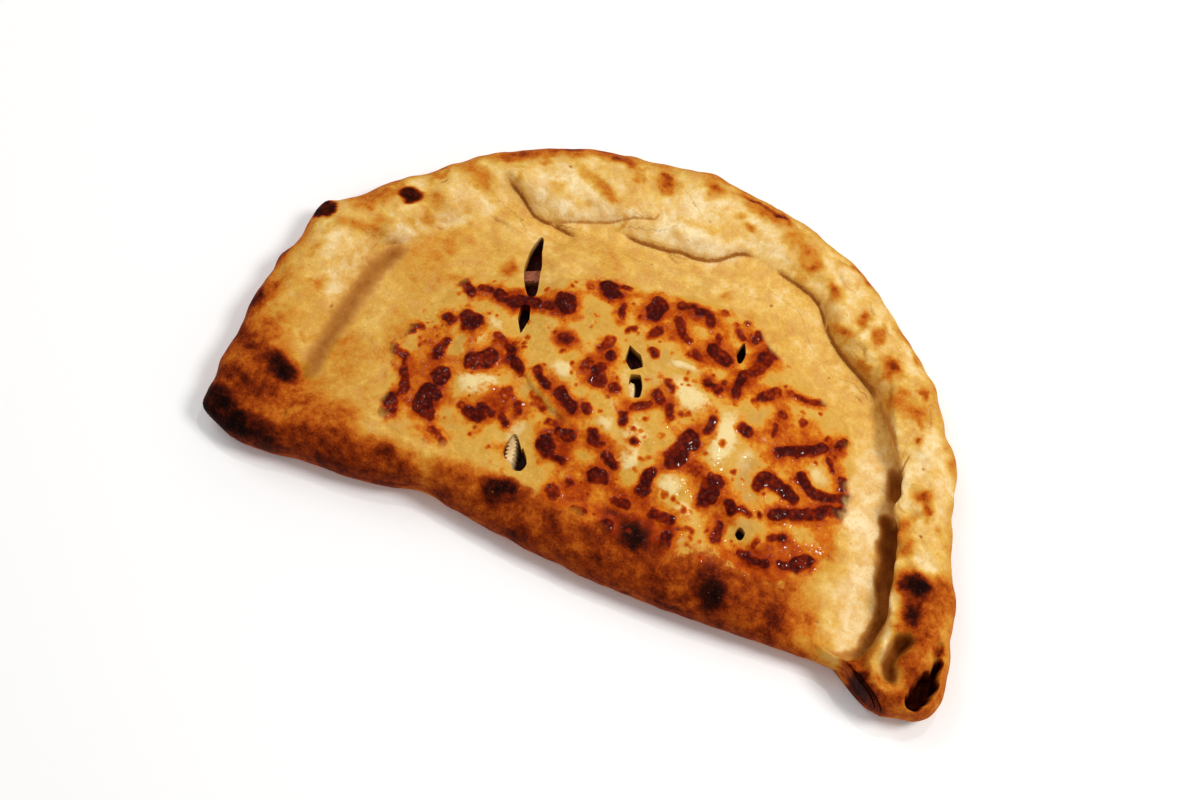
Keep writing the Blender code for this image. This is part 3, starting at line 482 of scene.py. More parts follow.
# Browned shreds: strength, width, and the places that each runs through.
shreds = [
    (1, 6, (-22, 19.5), (-18.5, 17)), (.5, 3.5, (-27, 17)), (.6, 3, (-17, 21.5), (-14, 22)), (.7, 3, (-13, 14), (-12, 9.5)),
    (.5, 2.5, (-6, 12)), (1, 7, (-2, 20), (-2, 15.5)), (.6, 3, (-7.5, 5.5), (-6, 6.5)), (.8, 4, (-70, 2), (-65, -1.5)),
    (.75, 3.5, (-63, 2), (-60, 2)), (.95, 5, (-56, 1.5), (-53, 1)), (.9, 5.5, (-50, 1), (-47, 1.5)), (1, 5, (-46.5, 2.5), (-41, 3)),
    (.8, 4, (-39, 3.5), (-36, 3)), (1, 7, (-33, 7), (-30, 5)), (1, 7.5, (-61.5, -11), (-59.5, -13)), (.8, 4.3, (-69, -13.2), (-67, -13.6)),
    (.6, 3, (-79, -21), (-76, -19.5)), (.8, 2.5, (-83, -26.5), (-81, -24.5), (-78, -22)), (.85, 4.5, (-65, -23), (-65.5, -28)), (.6, 3.5, (-49, -14), (-45, -16)),
    (.9, 4, (-43, -17.5), (-40.5, -20)), (.9, 4, (-38.5, -21.5), (-35, -24.5)), (.95, 7, (-52, -26.5), (-47, -23)), (.9, 4, (-29.5, -22), (-24, -26)),
    (1, 5, (-18.5, -26.5), (-13.5, -29.5)), (.75, 4.3, (-8.5, -28)), (.5, 3, (-28, -30.5), (-22, -33)), (.8, 5, (-26, -7)),
    (.6, 3, (-25, -11)), (.9, 4.7, (-9, -6.5)), (.95, 6, (-10.5, -13), (-9, -16.5)), (.65, 4, (-15, -12), (-15, -14)), (.5, 4, (-12, -1), (-12, -3)),
    (.8, 4.5, (-3, -17)), (.65, 4.5, (-82, -31), (-77, -32)), (.8, 3, (-76, -33), (-74.5, -35.5)), (.95, 4, (-74, -37), (-72, -40), (-70, -45)),
    (.95, 7.5, (-61, -34.5), (-60, -36)), (.6, 3, (-83, -37), (-80.5, -41)), (1, 5.8, (-73, -50.5), (-71.5, -52)), (.9, 4.5, (-72.5, -56)), (.6, 3, (-71.5, -47)),
    (1, 7, (-62, -43), (-61.5, -48)), (.9, 5, (-58, -43)), (.8, 4, (-60, -50.5), (-57, -50)), (.95, 4.5, (-46, -44), (-41, -44)), (.85, 4, (-42, -41), (-38.5, -41.5)),
    (.6, 3, (-49, -43)), (.8, 3.5, (-34, -41), (-32, -42.5)), (.85, 4, (-31, -35.5), (-30, -37.5)), (.5, 6, (-36, -34)), (1, 6.8, (-16.5, -43.5), (-15, -45)),
    (.8, 4, (-12, -46.5), (-9, -47)), (.9, 4, (-14, -38.5), (-9, -38.5)), (.6, 3, (-19, -37), (-16, -37)), (.85, 4, (-3, -34), (-1, -37.5)),
    (.7, 3.5, (-54, -55), (-49, -57)), (.75, 4, (-56.5, -61)), (.85, 3.5, (-84, -55), (-82.5, -62)), (.8, 5, (-7.5, -57), (-6.5, -59)), (.7, 4, (-3, -53)),
    (.7, 3, (-4, -63)), (.7, 4, (2, 10), (1, 7)), (.75, 4, (5, 23), (9, 23.5)), (.85, 4, (12, 22.5), (15, 24), (17, 21)), (.9, 4.5, (6.5, 17), (9.5, 12.5)),
    (.85, 3.5, (10, 12), (13.5, 10.5)), (.85, 3.5, (22, 17), (23, 14)), (1, 6, (22.5, 11.5), (27, 10.5)), (.85, 3.7, (17, 7), (19, 6)), (.6, 3, (15.5, 6)),
    (.55, 3, (20, 27)), (.4, 3, (25, 25)), (.6, 3, (28.5, 27.5)), (.8, 4, (33.5, 25), (33.5, 23.5)), (.5, 3, (27, 23), (29, 22)),
    (.8, 5, (39, 26), (40.5, 20), (39, 14), (37.5, 11), (35, 8)), (.95, 4.5, (38.5, 19), (39, 16)), (1, 4, (35, 5), (35, 2), (35.5, -1)),
    (.95, 4, (25.5, -2), (29, -2.5)), (.7, 3, (30, 1)), (.6, 2.5, (41.5, 0)), (.85, 4.5, (44, 3), (48, 8)), (.6, 2.5, (52, 10), (58, 11), (64, 13.5)),
    (.8, 3, (3, 1.5), (4.5, .5)), (.75, 3, (13, -7.5), (16, -10.5)), (.85, 4.5, (11.5, -13), (13, -14.5)), (.85, 4, (6.5, -20), (10, -17.5)),
    (.75, 3.5, (17, -16), (18.5, -19)), (.45, 2.5, (21.5, -16.5)), (.8, 3.5, (32.5, -13), (32, -18)), (1, 7, (28.5, -23), (27, -28), (26, -32)),
    (.75, 3.5, (4, -24.5), (5, -27)), (.4, 2.5, (19, -26.5)), (.95, 5.5, (44, -11.5)), (.75, 4, (53, 1)), (.6, 3, (52, -4), (52.5, -8)), (.55, 4, (60, 2)),
    (.8, 3.5, (74.8, 3), (74, 0)), (.4, 3, (70, 1)), (1, 4.5, (57, -12.3), (62, -9.5), (66, -6), (70, -3)), (.65, 2.5, (73, -6), (76, -9)),
    (.85, 3.5, (80.5, -10), (81, -13)), (1, 4.5, (67, -17), (70.5, -19), (74, -20), (80, -18), (84, -15.5)),
    (1, 5, (55, -27), (57, -23.5), (62, -24), (67, -25.5)), (1, 4.5, (64, -34), (70, -31), (75, -28), (79, -24), (84, -21)), (.85, 2.5, (59.5, -36)),
    (.8, 3, (53.5, -37.5), (56, -37.5)), (.95, 4.5, (49.5, -37.5), (50.5, -39)), (.6, 3, (87, -18.5)), (.75, 3, (11.5, -32.5)), (.5, 6, (33, -32)),
    (1, 7, (41.5, -34), (41, -38.5)), (1, 5, (20.5, -40), (20.5, -46)), (.8, 3.5, (0, -38), (2, -37.5)), (.95, 4, (4.5, -40), (8, -42)),
    (.95, 5, (3.5, -47.5), (6, -47.5)), (.9, 3.5, (48.5, -45), (49.5, -50)), (.75, 4, (2, -60), (4, -60)), (.8, 3, (66, -42.5), (70, -39)),
    (1, 5.5, (77, -46), (80.5, -42.5)), (.9, 3, (72, -48.5), (75, -47.5)), (.9, 3.5, (58, -50), (63, -51), (68, -50)), (.8, 2.5, (62, -47), (62, -45)),
    (.8, 3.5, (13, -52), (18, -52)), (.85, 4, (27, -51), (33, -51)), (1, 5, (34, -57), (35, -59)), (.9, 5, (12, -64), (15, -61)), (.5, 2, (36.5, -53), (40, -51)),
]
pools = [  # thick pale cheese: place, radii, turn, strength
    ((-46, -34), (9, 5), 0, 1), ((20, -9), (12, 5), -12, .8), ((38.5, -18), (4, 10), 0, 1), ((12, -38), (3.4, 4.5), 0, .9),
    ((28, -41), (4, 5), 0, .7), ((-22, -18), (4.5, 3.5), 0, .8), ((-55, -22), (3.5, 7), 15, .75), ((-55, -16), (4, 3), 0, .6),
    ((10, -29), (5, 4), 0, .8), ((-28, -43), (2.6, 5), -10, .8), ((37, -55.5), (3, 2), 0, .7), ((2, -22), (4, 3), 0, .6),
    ((15, 1), (6, 1.6), 5, .7), ((-5, -51), (3, 3), 0, .5), ((-16, -33), (4, 2), -20, .6), ((36, -46), (4, 3), 0, .7),
    ((56, -7), (2, 3), 0, .6), ((-39, 20), (6, 4), 0, .3), ((0, -30), (3, 3), 0, .6), ((48, -22), (2.5, 7), 0, .5),
    ((72, -13), (6, 3.4), 0, .45), ((-52, -10), (5, 2.4), -20, .6), ((-4, 8), (2, 3), 0, .5), ((-2, -12), (3, 4), 0, .4),
]
blushes = [  # where the cheese has turned orange between the shreds: place, radii, turn, strength
    ((-68, -34), (9, 6), 0, .7), ((-70, -22), (6, 7), 0, .55), ((-82, -20), (3, 5), 0, .4), ((-55, -20), (4, 3), 0, .35),
    ((-36, -37), (10, 5), -8, .95), ((-44, 2), (20, 3.6), 6, .8), ((-26, -7), (6, 4), 0, .95), ((-12, -12), (6, 8), 0, .8),
    ((-20, 18), (9, 5), -20, .8), ((-3, 17), (6, 7), 0, .75), ((-13, 9), (3.4, 5), 0, .6), ((-30, 10), (4, 4), 0, .4),
    ((12, 22.5), (10, 4), 0, .8), ((9, 13), (5, 5), -30, .7), ((20, 7), (6, 4), -30, .75), ((25, 13), (5, 6), 0, .8),
    ((38, 15), (4, 11), -6, .95), ((36, 3), (3, 6), 0, .8), ((28, -1.5), (6, 3), 0, .8), ((30, 24), (6, 4), 0, .55),
    ((49, 7), (7, 4), 35, .7), ((58, 11), (8, 2.4), 12, .7), ((52, -3), (4, 8), 0, .75), ((60, -4), (7, 6), 30, .85),
    ((58, -15), (8, 5), 0, .7), ((48, -12), (5, 5), 0, .5), ((74, 1), (4, 5), 0, .7), ((77, -8), (4, 5), 0, .5),
    ((82, -17), (4, 6), 0, .7), ((82, -27), (7, 8), 20, .7), ((70, -31), (10, 4), 20, .7), ((72, -40), (12, 3.4), 10, .6),
    ((15, -13), (4, 5), 0, .6), ((29, -17), (4, 6), 0, .7), ((33, -32), (5, 4), 0, .85), ((25, -33), (4, 3), 0, .6),
    ((42, -36), (6, 6), 0, .7), ((2, -37), (8, 4), 0, .7), ((-11, -40), (9, 6), 0, .75), ((-4, -47), (7, 4), 0, .7),
    ((0, -56), (11, 6), 0, .95), ((10, -48), (6, 4), 0, .6), ((20, -50), (10, 4), 0, .8), ((48, -46), (4, 5), 0, .7),
    ((72, -46), (14, 5), 15, .8), ((64, -52), (12, 4), 0, .9), ((34, -55), (6, 4), 0, .8), ((-56, -58), (8, 5), 0, .5),
    ((-80, -57), (8, 6), 0, .5), ((-72, -50), (4, 8), 0, .5), ((-62, -47), (5, 6), 0, .45), ((-18, -27), (10, 4), -28, .6),
    ((-46, -17), (9, 4), -25, .55), ((-49, -26), (7, 4), 10, .6), ((4, -20), (6, 5), 0, .5), ((12, -5), (5, 3), 0, .35),
    ((66, 3), (5, 4), 0, .35), ((46, 22), (3, 5), 0, .4), ((21, 28), (4, 2.4), 0, .5), ((4, 24), (4, 3), 0, .5),
    ((-30, -52), (4, 4), 0, .5), ((-44, -50), (8, 4), 0, .4), ((-10, 22), (4, 3), 0, .3), ((44, 14), (3, 4), 0, .35),
]
greys = [  # thin, greyish cheese over steamed dough, and painted shade in the dents at (50, -25) and (53, -33): place, radii, turn, strength
    ((-39, 18), (5, 7), 0, .6), ((50, -25), (4, 6), 0, .9), ((53, -33), (4, 3), 0, .9), ((-22, -32), (12, 2), -18, .7),
    ((-60, -18), (5, 3), 0, .5), ((-30, 1), (6, 4), 0, .35), ((-34, -22), (6, 3), -25, .5), ((-82, -33), (4, 8), 0, .3),
    ((-27, -44), (3, 5), 0, .5), ((6, 1), (5, 3), 0, .5), ((17, 10), (3, 3), 0, .3), ((-52, -48), (5, 5), 0, .4),
    ((-67, -56), (5, 8), 0, .5), ((56, -41), (4, 4), 0, .7), ((46, -4), (3, 5), 0, .5), ((-24, -20), (5, 2), -20, .5),
]
melt = {"film": 0.12, "pool": 0.9, "bead": 0.95, "dots": 300, "seed": 7, "wobble": 0.4}


def extraDots():  # small brown beads between the shreds, strewn at random over the cheese
    rng = np.random.default_rng(melt["seed"])
    dots = []
    while len(dots) < melt["dots"]:
        x, y = rng.uniform(-84, 88), rng.uniform(-64, 28)
        turn = np.arctan2(y - form["middle"][1], x)
        if math.hypot(x, y - form["middle"][1]) < cheeseCurve.radius(turn) * 0.95:
            dots.append((rng.uniform(0.15, 0.6), rng.uniform(0.9, 2.3), (x, y)))
    return dots


dots = extraDots()


def cheeseShare(x, y):  # 1 on the melted cheese, 0 on bare dough
    turn, reach, _, _ = planPlace(x, y)
    ragged = reach / cheeseCurve.radius(turn) + 0.035 * lumps(x, y, 6, 12.0)
    return smooth(1.0, 0.88, ragged)


def shredFields(x, y):  # for each place: how far inside a browned shred, how dark that one is, blush round it, bead
    wx = x + melt["wobble"] * lumps(x, y, 2.6, 41.0) + 0.6 * lumps(x, y, 7, 42.0)
    wy = y + melt["wobble"] * lumps(x, y, 2.6, 51.0) + 0.6 * lumps(x, y, 7, 52.0)
    inside, tone = np.full(x.shape, -3.0), np.full(x.shape, 0.5)
    clear, bead = np.ones(x.shape), np.zeros(x.shape)
    swell = 1.08 + 0.3 * lumps(x, y, 4.2, 43.0)
    for strength, width, *line in shreds + dots:
        near = np.flatnonzero((x > min(p[0] for p in line) - 14) & (x < max(p[0] for p in line) + 14)
                              & (y > min(p[1] for p in line) - 14) & (y < max(p[1] for p in line) + 14))
        away = strokeDistance(wx[near], wy[near], line)[0]
        half = width / 2 * swell[near]
        depth = half - away
        better = near[depth > inside[near]]
        tone[better] = strength
        inside[near] = np.maximum(inside[near], depth)
        halo = np.exp(-((np.maximum(0, -depth) / (0.9 + 0.5 * half)) ** 1.3))
        clear[near] *= 1 - 0.52 * strength * min(1, width / 4) * halo
        dome = np.sqrt(np.maximum(0, 1 - (away / (half * 1.1)) ** 2))
        bead[near] = np.maximum(bead[near], dome * (0.3 + 0.7 * strength) * min(1, width / 4))
    for at, radii, tilt, strength in blushes:
        clear *= 1 - 0.72 * strength * spotShare(wx, wy, at, radii, tilt, 2.6)
    return inside, tone, 1 - clear, bead


def sumOfSpots(x, y, spots, power):
    clear = np.ones(x.shape)
    for at, radii, tilt, strength in spots:
        clear *= 1 - strength * spotShare(x, y, at, radii, tilt, power)
    return 1 - clear


def cheeseLift(x, y, pool, bead):  # height of the cheese over the dough's own surface
    bubbly = 0.14 * lumps(x, y, 1.5, 61.0) * (0.3 + bead) + 0.12 * lumps(x, y, 3.3, 71.0)
    return melt["film"] + melt["pool"] * pool * (1 - 0.6 * bead) + melt["bead"] * bead + bubbly


# ---- meshes ----

facets = {"dough": (744, 124), "inside": (120, 30), "cheeseGrid": 0.56, "slit": 40}


def finishObject(name, sheet):
    mesh = bpy.data.meshes.new(name)
    sheet.to_mesh(mesh)
    sheet.free()
    made = bpy.data.objects.new(name, mesh)
    bpy.context.scene.collection.objects.link(made)
    return made


def readPlaces(mesh):  # in millimetres
    flat = np.empty(len(mesh.vertices) * 3, np.float64)
    mesh.vertices.foreach_get("co", flat)
    return flat.reshape(-1, 3) / mm


def writePlaces(mesh, places):
    mesh.vertices.foreach_set("co", (places * mm).astype(np.float32).ravel())
    mesh.update()


def setAttribute(mesh, name, values):
    mesh.attributes.new(name, "FLOAT", "POINT").data.foreach_set("value", np.clip(values, 0, 1).astype(np.float32))


def spunBall(name, segments, rings):  # a closed barrel of rings between two poles, to be shaped afterwards
    ball = bmesh.new()
    first = bmesh.ops.create_circle(ball, cap_ends=False, segments=segments, radius=1)["verts"]
    edges = list({edge for vertex in first for edge in vertex.link_edges})
    for _ in range(rings):
        made = bmesh.ops.extrude_edge_only(ball, edges=edges)["geom"]
        last = [item for item in made if isinstance(item, bmesh.types.BMVert)]
        bmesh.ops.translate(ball, verts=last, vec=(0, 0, -1 / rings))
        ring = set(last)
        edges = [item for item in made if isinstance(item, bmesh.types.BMEdge) and ring.issuperset(item.verts)]
    bmesh.ops.pointmerge(ball, verts=first, merge_co=(0, 0, 0))
    bmesh.ops.pointmerge(ball, verts=last, merge_co=(0, 0, -1))
    bmesh.ops.recalc_face_normals(ball, faces=ball.faces)
    made = finishObject(name, ball)
    x, y, z = readPlaces(made.data).T
    return made, np.arctan2(y, x), np.clip(-z * mm, 0, 1)


def evenTurns(turn):  # spreads the facets evenly along the outline, with more of them at the open curl
    fine = np.linspace(-math.pi, math.pi, 4001)
    radius = outline.radius(fine)
    px, py = radius * np.cos(fine), radius * np.sin(fine) + form["middle"][1]
    weight = 1 + 1.1 * np.exp(-(np.hypot(px - 128, py + 66) / 22) ** 2)
    steps = np.hypot(np.diff(px), np.diff(py)) * (weight[1:] + weight[:-1]) / 2
    run = np.concatenate([[0], np.cumsum(steps)])
    return np.interp((turn + math.pi) / math.tau, run / run[-1], fine)


def makeDough():
    dough, turn, way = spunBall("dough_baked", *facets["dough"])
    turn = evenTurns(turn)
    lip, outer = lipLine.radius(turn), outline.radius(turn)
    stage = np.interp(way, [0, 0.11, 0.31, 0.52, 0.74, 0.83, 0.93, 1], [0, 0.70, 1, 1.30, 1.80, 2, 3, 4])

    sheetReach = lip * np.minimum(1, stage)
    p = np.clip(stage - 1, 0, 1)
    across = 1 - (1 - p) ** 1.6
    reach = np.where(stage <= 1, sheetReach, mix(lip, outer, across))
    under = np.clip(stage - 2, 0, 1) * math.pi / 2
    reach = np.where(stage > 2, outer - form["baseInset"] * (1 - np.cos(under)), reach)
    reach = np.where(stage > 3, (outer - form["baseInset"]) * (4 - stage), reach)
    x = form["middle"][0] + reach * np.cos(turn)
    y = form["middle"][1] + reach * np.sin(turn)
    top = stage < 2
    z = np.zeros(x.shape)
    z[top] = surfaceHeight(x[top], y[top])
    z[top] -= 0.5 * smooth(0.5, 1.0, cheeseShare(x[top], y[top]))
    z[~top] = form["edge"] * (1 - np.sin(under[~top]))
    z[stage >= 3] = 0
    sideNoise = 0.5 * lumps(x, y, 7, 13.0) * smooth(1.5, 1.9, stage) * smooth(3.0, 2.2, stage)

    # the lip of the rolled edge hangs over the groove, and the groove runs in under it
    past = reach - lip
    hang = byTurn(form["hang"], turn) * (stage < 1.9) * (1 + 0.7 * lumps(x, y, 7, 23.0))
    rise = byTurn(form["rise"], turn)
    push = -hang * np.exp(-(((past - 0.75 * rise) / (0.6 * rise)) ** 2)) + 0.7 * hang * np.exp(-(((past + 0.2) / 1.1) ** 2))
    reach = reach + push + sideNoise
    x = form["middle"][0] + reach * np.cos(turn)
    y = form["middle"][1] + reach * np.sin(turn)
    writePlaces(dough.data, np.stack([x, y, z], 1))
    return dough


def layerBody(name, inset, top, bottom, squareness=5, ridged=None):  # a closed body under the top sheet
    body, turn, way = spunBall(name, *facets["inside"])
    topShare = 0.7  # most of the rings lie on the upper side
    latitude = np.where(way < topShare, (way / topShare) ** 2.2, 2 - ((1 - way) / (1 - topShare)) ** 2.2) * math.pi / 2
    tight = byTurn([(0, 18), (25, 14), (45, 9), (180, 9), (215, 9), (325, 12), (345, 18)], turn)
    degrees = np.degrees(turn) % 360
    onRim = np.maximum(np.where(degrees > 180, smooth(214, 198, degrees), 1.0), smooth(322, 330, degrees))
    edge = mix(outline.radius(turn) - 11, lipLine.radius(turn) - tight, onRim) - inset
    reach = edge * np.abs(np.sin(latitude)) ** (2 / squareness)
    x, y = form["middle"][0] + reach * np.cos(turn), form["middle"][1] + reach * np.sin(turn)
    ceiling = surfaceHeight(x, y) - top
    if ridged is not None:
        ceiling = ceiling + ridged(x, y)
    share = (np.sign(np.cos(latitude)) * np.abs(np.cos(latitude)) ** (2 / squareness) + 1) / 2
    writePlaces(body.data, np.stack([x, y, mix(bottom, ceiling, share)], 1))
    return body


def slitCutter(name, slit, low, high):  # an upright blade that follows the slit's line
    blade = bmesh.new()
    bmesh.ops.create_cone(blade, cap_ends=True, segments=facets["slit"], radius1=1, radius2=1, depth=2)
    cutter = finishObject(name, blade)
    places = readPlaces(cutter.data) * mm
    line = np.array(slit["line"], float)
    runs = np.concatenate([[0], np.cumsum(np.hypot(*np.diff(line, axis=0).T))])
    share = (1 - places[:, 0]) / 2
    first, last = slit["ends"]
    body = np.minimum(1, (share / 0.5) ** first) * np.minimum(1, ((1 - share) / 0.5) ** last)
    side = np.sign(places[:, 1]) * body * slit["width"] / 2 * (np.abs(places[:, 1]) > 1e-6)
    cx, cy = np.interp(share * runs[-1], runs, line[:, 0]), np.interp(share * runs[-1], runs, line[:, 1])
    ax = np.interp(np.minimum(1, share + 0.05) * runs[-1], runs, line[:, 0]) - np.interp(np.maximum(0, share - 0.05) * runs[-1], runs, line[:, 0])
    ay = np.interp(np.minimum(1, share + 0.05) * runs[-1], runs, line[:, 1]) - np.interp(np.maximum(0, share - 0.05) * runs[-1], runs, line[:, 1])
    norm = np.hypot(ax, ay)
    flare = np.where(places[:, 2] > 0, 1.12, 0.85)
    x, y = cx - ay / norm * side * flare, cy + ax / norm * side * flare
    z = np.where(places[:, 2] > 0, high, low)
    writePlaces(cutter.data, np.stack([x, y, z], 1))
    check = bmesh.new()
    check.from_mesh(cutter.data)
    bmesh.ops.recalc_face_normals(check, faces=check.faces)
    check.to_mesh(cutter.data)
    check.free()
    return cutter


def carve(target, cutters):
    for cutter in cutters:
        boolean = target.modifiers.new("carve", "BOOLEAN")
        boolean.operation, boolean.solver, boolean.object = "DIFFERENCE", "MANIFOLD", cutter
    bpy.context.view_layer.update()
    carved = bpy.data.meshes.new_from_object(target.evaluated_get(bpy.context.evaluated_depsgraph_get()))
    target.modifiers.clear()
    old, target.data = target.data, carved
    bpy.data.meshes.remove(old)
    carved.name = target.name


def makeCheese():
    box = form["cheeseLine"]
    lowX, highX = min(p[0] for p in box) - 4, max(p[0] for p in box) + 4
    lowY, highY = min(p[1] for p in box) - 4, max(p[1] for p in box) + 4
    step = facets["cheeseGrid"]
    sheet = bmesh.new()
    across, up = round((highX - lowX) / step), round((highY - lowY) / step)
    place = Matrix.LocRotScale(Vector(((lowX + highX) / 2, (lowY + highY) / 2, 0)), None,
                               Vector(((highX - lowX) / 2, (highY - lowY) / 2, 1)))
    bmesh.ops.create_grid(sheet, x_segments=across, y_segments=up, size=1, matrix=place)
    spots = np.array([vertex.co.xy for vertex in sheet.verts])
    turn, reach, _, _ = planPlace(*spots.T)
    beyond = reach > cheeseCurve.radius(turn) + 1.5
    outside = [vertex for vertex, out in zip(sheet.verts, beyond) if out]
    bmesh.ops.delete(sheet, geom=outside, context="VERTS")
    walls = bmesh.ops.extrude_face_region(sheet, geom=sheet.faces[:])
    raised = [item for item in walls["geom"] if isinstance(item, bmesh.types.BMVert)]
    bmesh.ops.translate(sheet, verts=raised, vec=(0, 0, 1))
    bmesh.ops.recalc_face_normals(sheet, faces=sheet.faces)
    bmesh.ops.scale(sheet, verts=sheet.verts, vec=(mm, mm, 1))
    cheese = finishObject("cheese_melted", sheet)
    places = readPlaces(cheese.data)
    x, y, isTop = places[:, 0], places[:, 1], places[:, 2] > 500
    ground = surfaceHeight(x, y)
    bead = shredFields(x, y)[3]
    rim = smooth(0.0, 0.6, cheeseShare(x, y))
    lift = mix(-0.6, cheeseLift(x, y, sumOfSpots(x, y, pools, 3), bead), rim)
    z = ground + np.where(isTop, lift, -1.3)
    writePlaces(cheese.data, np.stack([x, y, z], 1))
    return cheese


def addFinishAttributes(made):
    mesh = made.data
    x, y, z = readPlaces(mesh).T
    below = surfaceHeight(x, y) - z
    # the slit walls darken below the top: partly crumb, partly painted shade down the slit
    inSlit = smooth(0.9, 2.2, below) * smooth(6, 4, slitReach(x, y))
    lower = smooth(form["edge"] + 1, 3, z)
    bake = bakeAmount(x, y)
    inside, tone, blush, _ = shredFields(x, y)
    side, dark = creaseLines(x, y)
    underneath = 0.52 + 0.16 * lumps(x, y, 12, 17.0)
    setAttribute(mesh, "bake", mix(bake, np.maximum(underneath, bake * 0.8), lower * (1 - inSlit)))
    setAttribute(mesh, "recessShade", recessShadeAmount(x, y) * smooth(4, 1.5, below))
    setAttribute(mesh, "creaseSide", 0.5 + side / 20)
    setAttribute(mesh, "creaseDark", dark * smooth(4, 1.5, below))
    setAttribute(mesh, "shade", shadeAmount(x, y, z))
    setAttribute(mesh, "cheese", cheeseShare(x, y) * smooth(4, 9, z))
    setAttribute(mesh, "shred", 0.5 + inside / 6)
    setAttribute(mesh, "tone", tone)
    setAttribute(mesh, "blush", blush)
    setAttribute(mesh, "pool", sumOfSpots(x, y, pools, 3))
    setAttribute(mesh, "grey", sumOfSpots(x, y, greys, 2.4))
    setAttribute(mesh, "crumbAndShade", inSlit)


# ---- finishes ----

class Wire:  # a node's output that can be used in sums
    def __init__(self, finish, socket):
        self.finish, self.socket = finish, socket

    def sum(self, operation, first, second, clamp=False):
        return self.finish.node("ShaderNodeMath", {"operation": operation, "use_clamp": clamp}, {0: first, 1: second})

    def __add__(self, other):
        return self.sum("ADD", self, other)

    def __sub__(self, other):
        return self.sum("SUBTRACT", self, other)

    def __rsub__(self, other):
        return self.sum("SUBTRACT", other, self)

    def __mul__(self, other):
        return self.sum("MULTIPLY", self, other)

    __radd__, __rmul__ = __add__, __mul__

    def highest(self, other):
        return self.sum("MAXIMUM", self, other)

    def between(self, low, high):  # 0 at low, 1 at high, smooth between them
        return self.finish.node("ShaderNodeMapRange", {"interpolation_type": "SMOOTHSTEP"},
                                {"Value": self, "From Min": low, "From Max": high})


class Finish:  # a material under construction
    def __init__(self, name):
        self.material = bpy.data.materials.new(name)
        self.material.use_nodes = True
        self.tree = self.material.node_tree
        self.shader = self.tree.nodes["Principled BSDF"]

    def node(self, kind, settings=None, values=None, out=0):
        made = self.tree.nodes.new(kind)
        for key, value in (settings or {}).items():
            if key == "stops":
                ramp = made.color_ramp.elements
                for spare in list(ramp)[1:]:
                    ramp.remove(spare)
                for i, (place, colour) in enumerate(value):
                    stop = ramp[0] if i == 0 else ramp.new(place)
                    stop.position, stop.color = place, (*colour, 1)
            else:
                setattr(made, key, value)
        for key, value in (values or {}).items():
            self.feed(made.inputs[key], value)
        return Wire(self, made.outputs[out])

    def feed(self, socket, value):
        if isinstance(value, Wire):
            self.tree.links.new(value.socket, socket)
        else:
            socket.default_value = value

    def attribute(self, name):
        return self.node("ShaderNodeAttribute", {"attribute_name": name}, out=2)

    def noise(self, place, size, detail=2.0, rough=0.5, distortion=0.0):  # size in millimetres
        return self.node("ShaderNodeTexNoise", {}, {"Vector": place, "Scale": 1 / (size * mm), "Detail": detail,
                                                    "Roughness": rough, "Distortion": distortion})

    def ramp(self, share, stops):
        return self.node("ShaderNodeValToRGB", {"stops": [(at, paint(*colour)) for at, colour in stops]}, {"Fac": share})

    def blend(self, share, first, second, kind="MIX"):
        return self.node("ShaderNodeMix", {"data_type": "RGBA", "blend_type": kind}, {0: share, 6: first, 7: second}, out=2)


def paint(red, green, blue):  # display colour out of 255 to linear
    return tuple(((c / 255 + 0.055) / 1.055) ** 2.4 if c > 10 else c / 255 / 12.92 for c in (red, green, blue))


crustStops = [
    (0.00, (244, 220, 170)), (0.10, (233, 200, 138)), (0.20, (225, 180, 92)), (0.30, (211, 158, 66)),
    (0.40, (202, 136, 46)), (0.50, (194, 110, 30)), (0.60, (168, 76, 14)), (0.70, (130, 46, 6)),
    (0.80, (86, 23, 4)), (0.90, (42, 9, 3)), (1.00, (14, 3, 2)),
]
cheeseStops = [(0.3, (196, 138, 50)), (0.5, (210, 160, 68)), (0.7, (224, 182, 98))]
meltStops = [
    (0.10, (220, 170, 78)), (0.22, (214, 142, 40)), (0.36, (200, 106, 18)), (0.50, (176, 70, 8)),
    (0.64, (144, 42, 3)), (0.80, (108, 24, 4)), (1.00, (64, 10, 5)),
]
shadeStops = [(0.0, (222, 176, 104)), (0.25, (190, 132, 62)), (0.5, (144, 80, 24)), (0.75, (102, 46, 8)), (1.0, (60, 20, 4))]
tones = {
    "cream": (232, 206, 144), "grey": (184, 140, 80), "rosy": (216, 166, 112), "pore": (150, 90, 38), "crumbAndShade": (96, 46, 18),
}


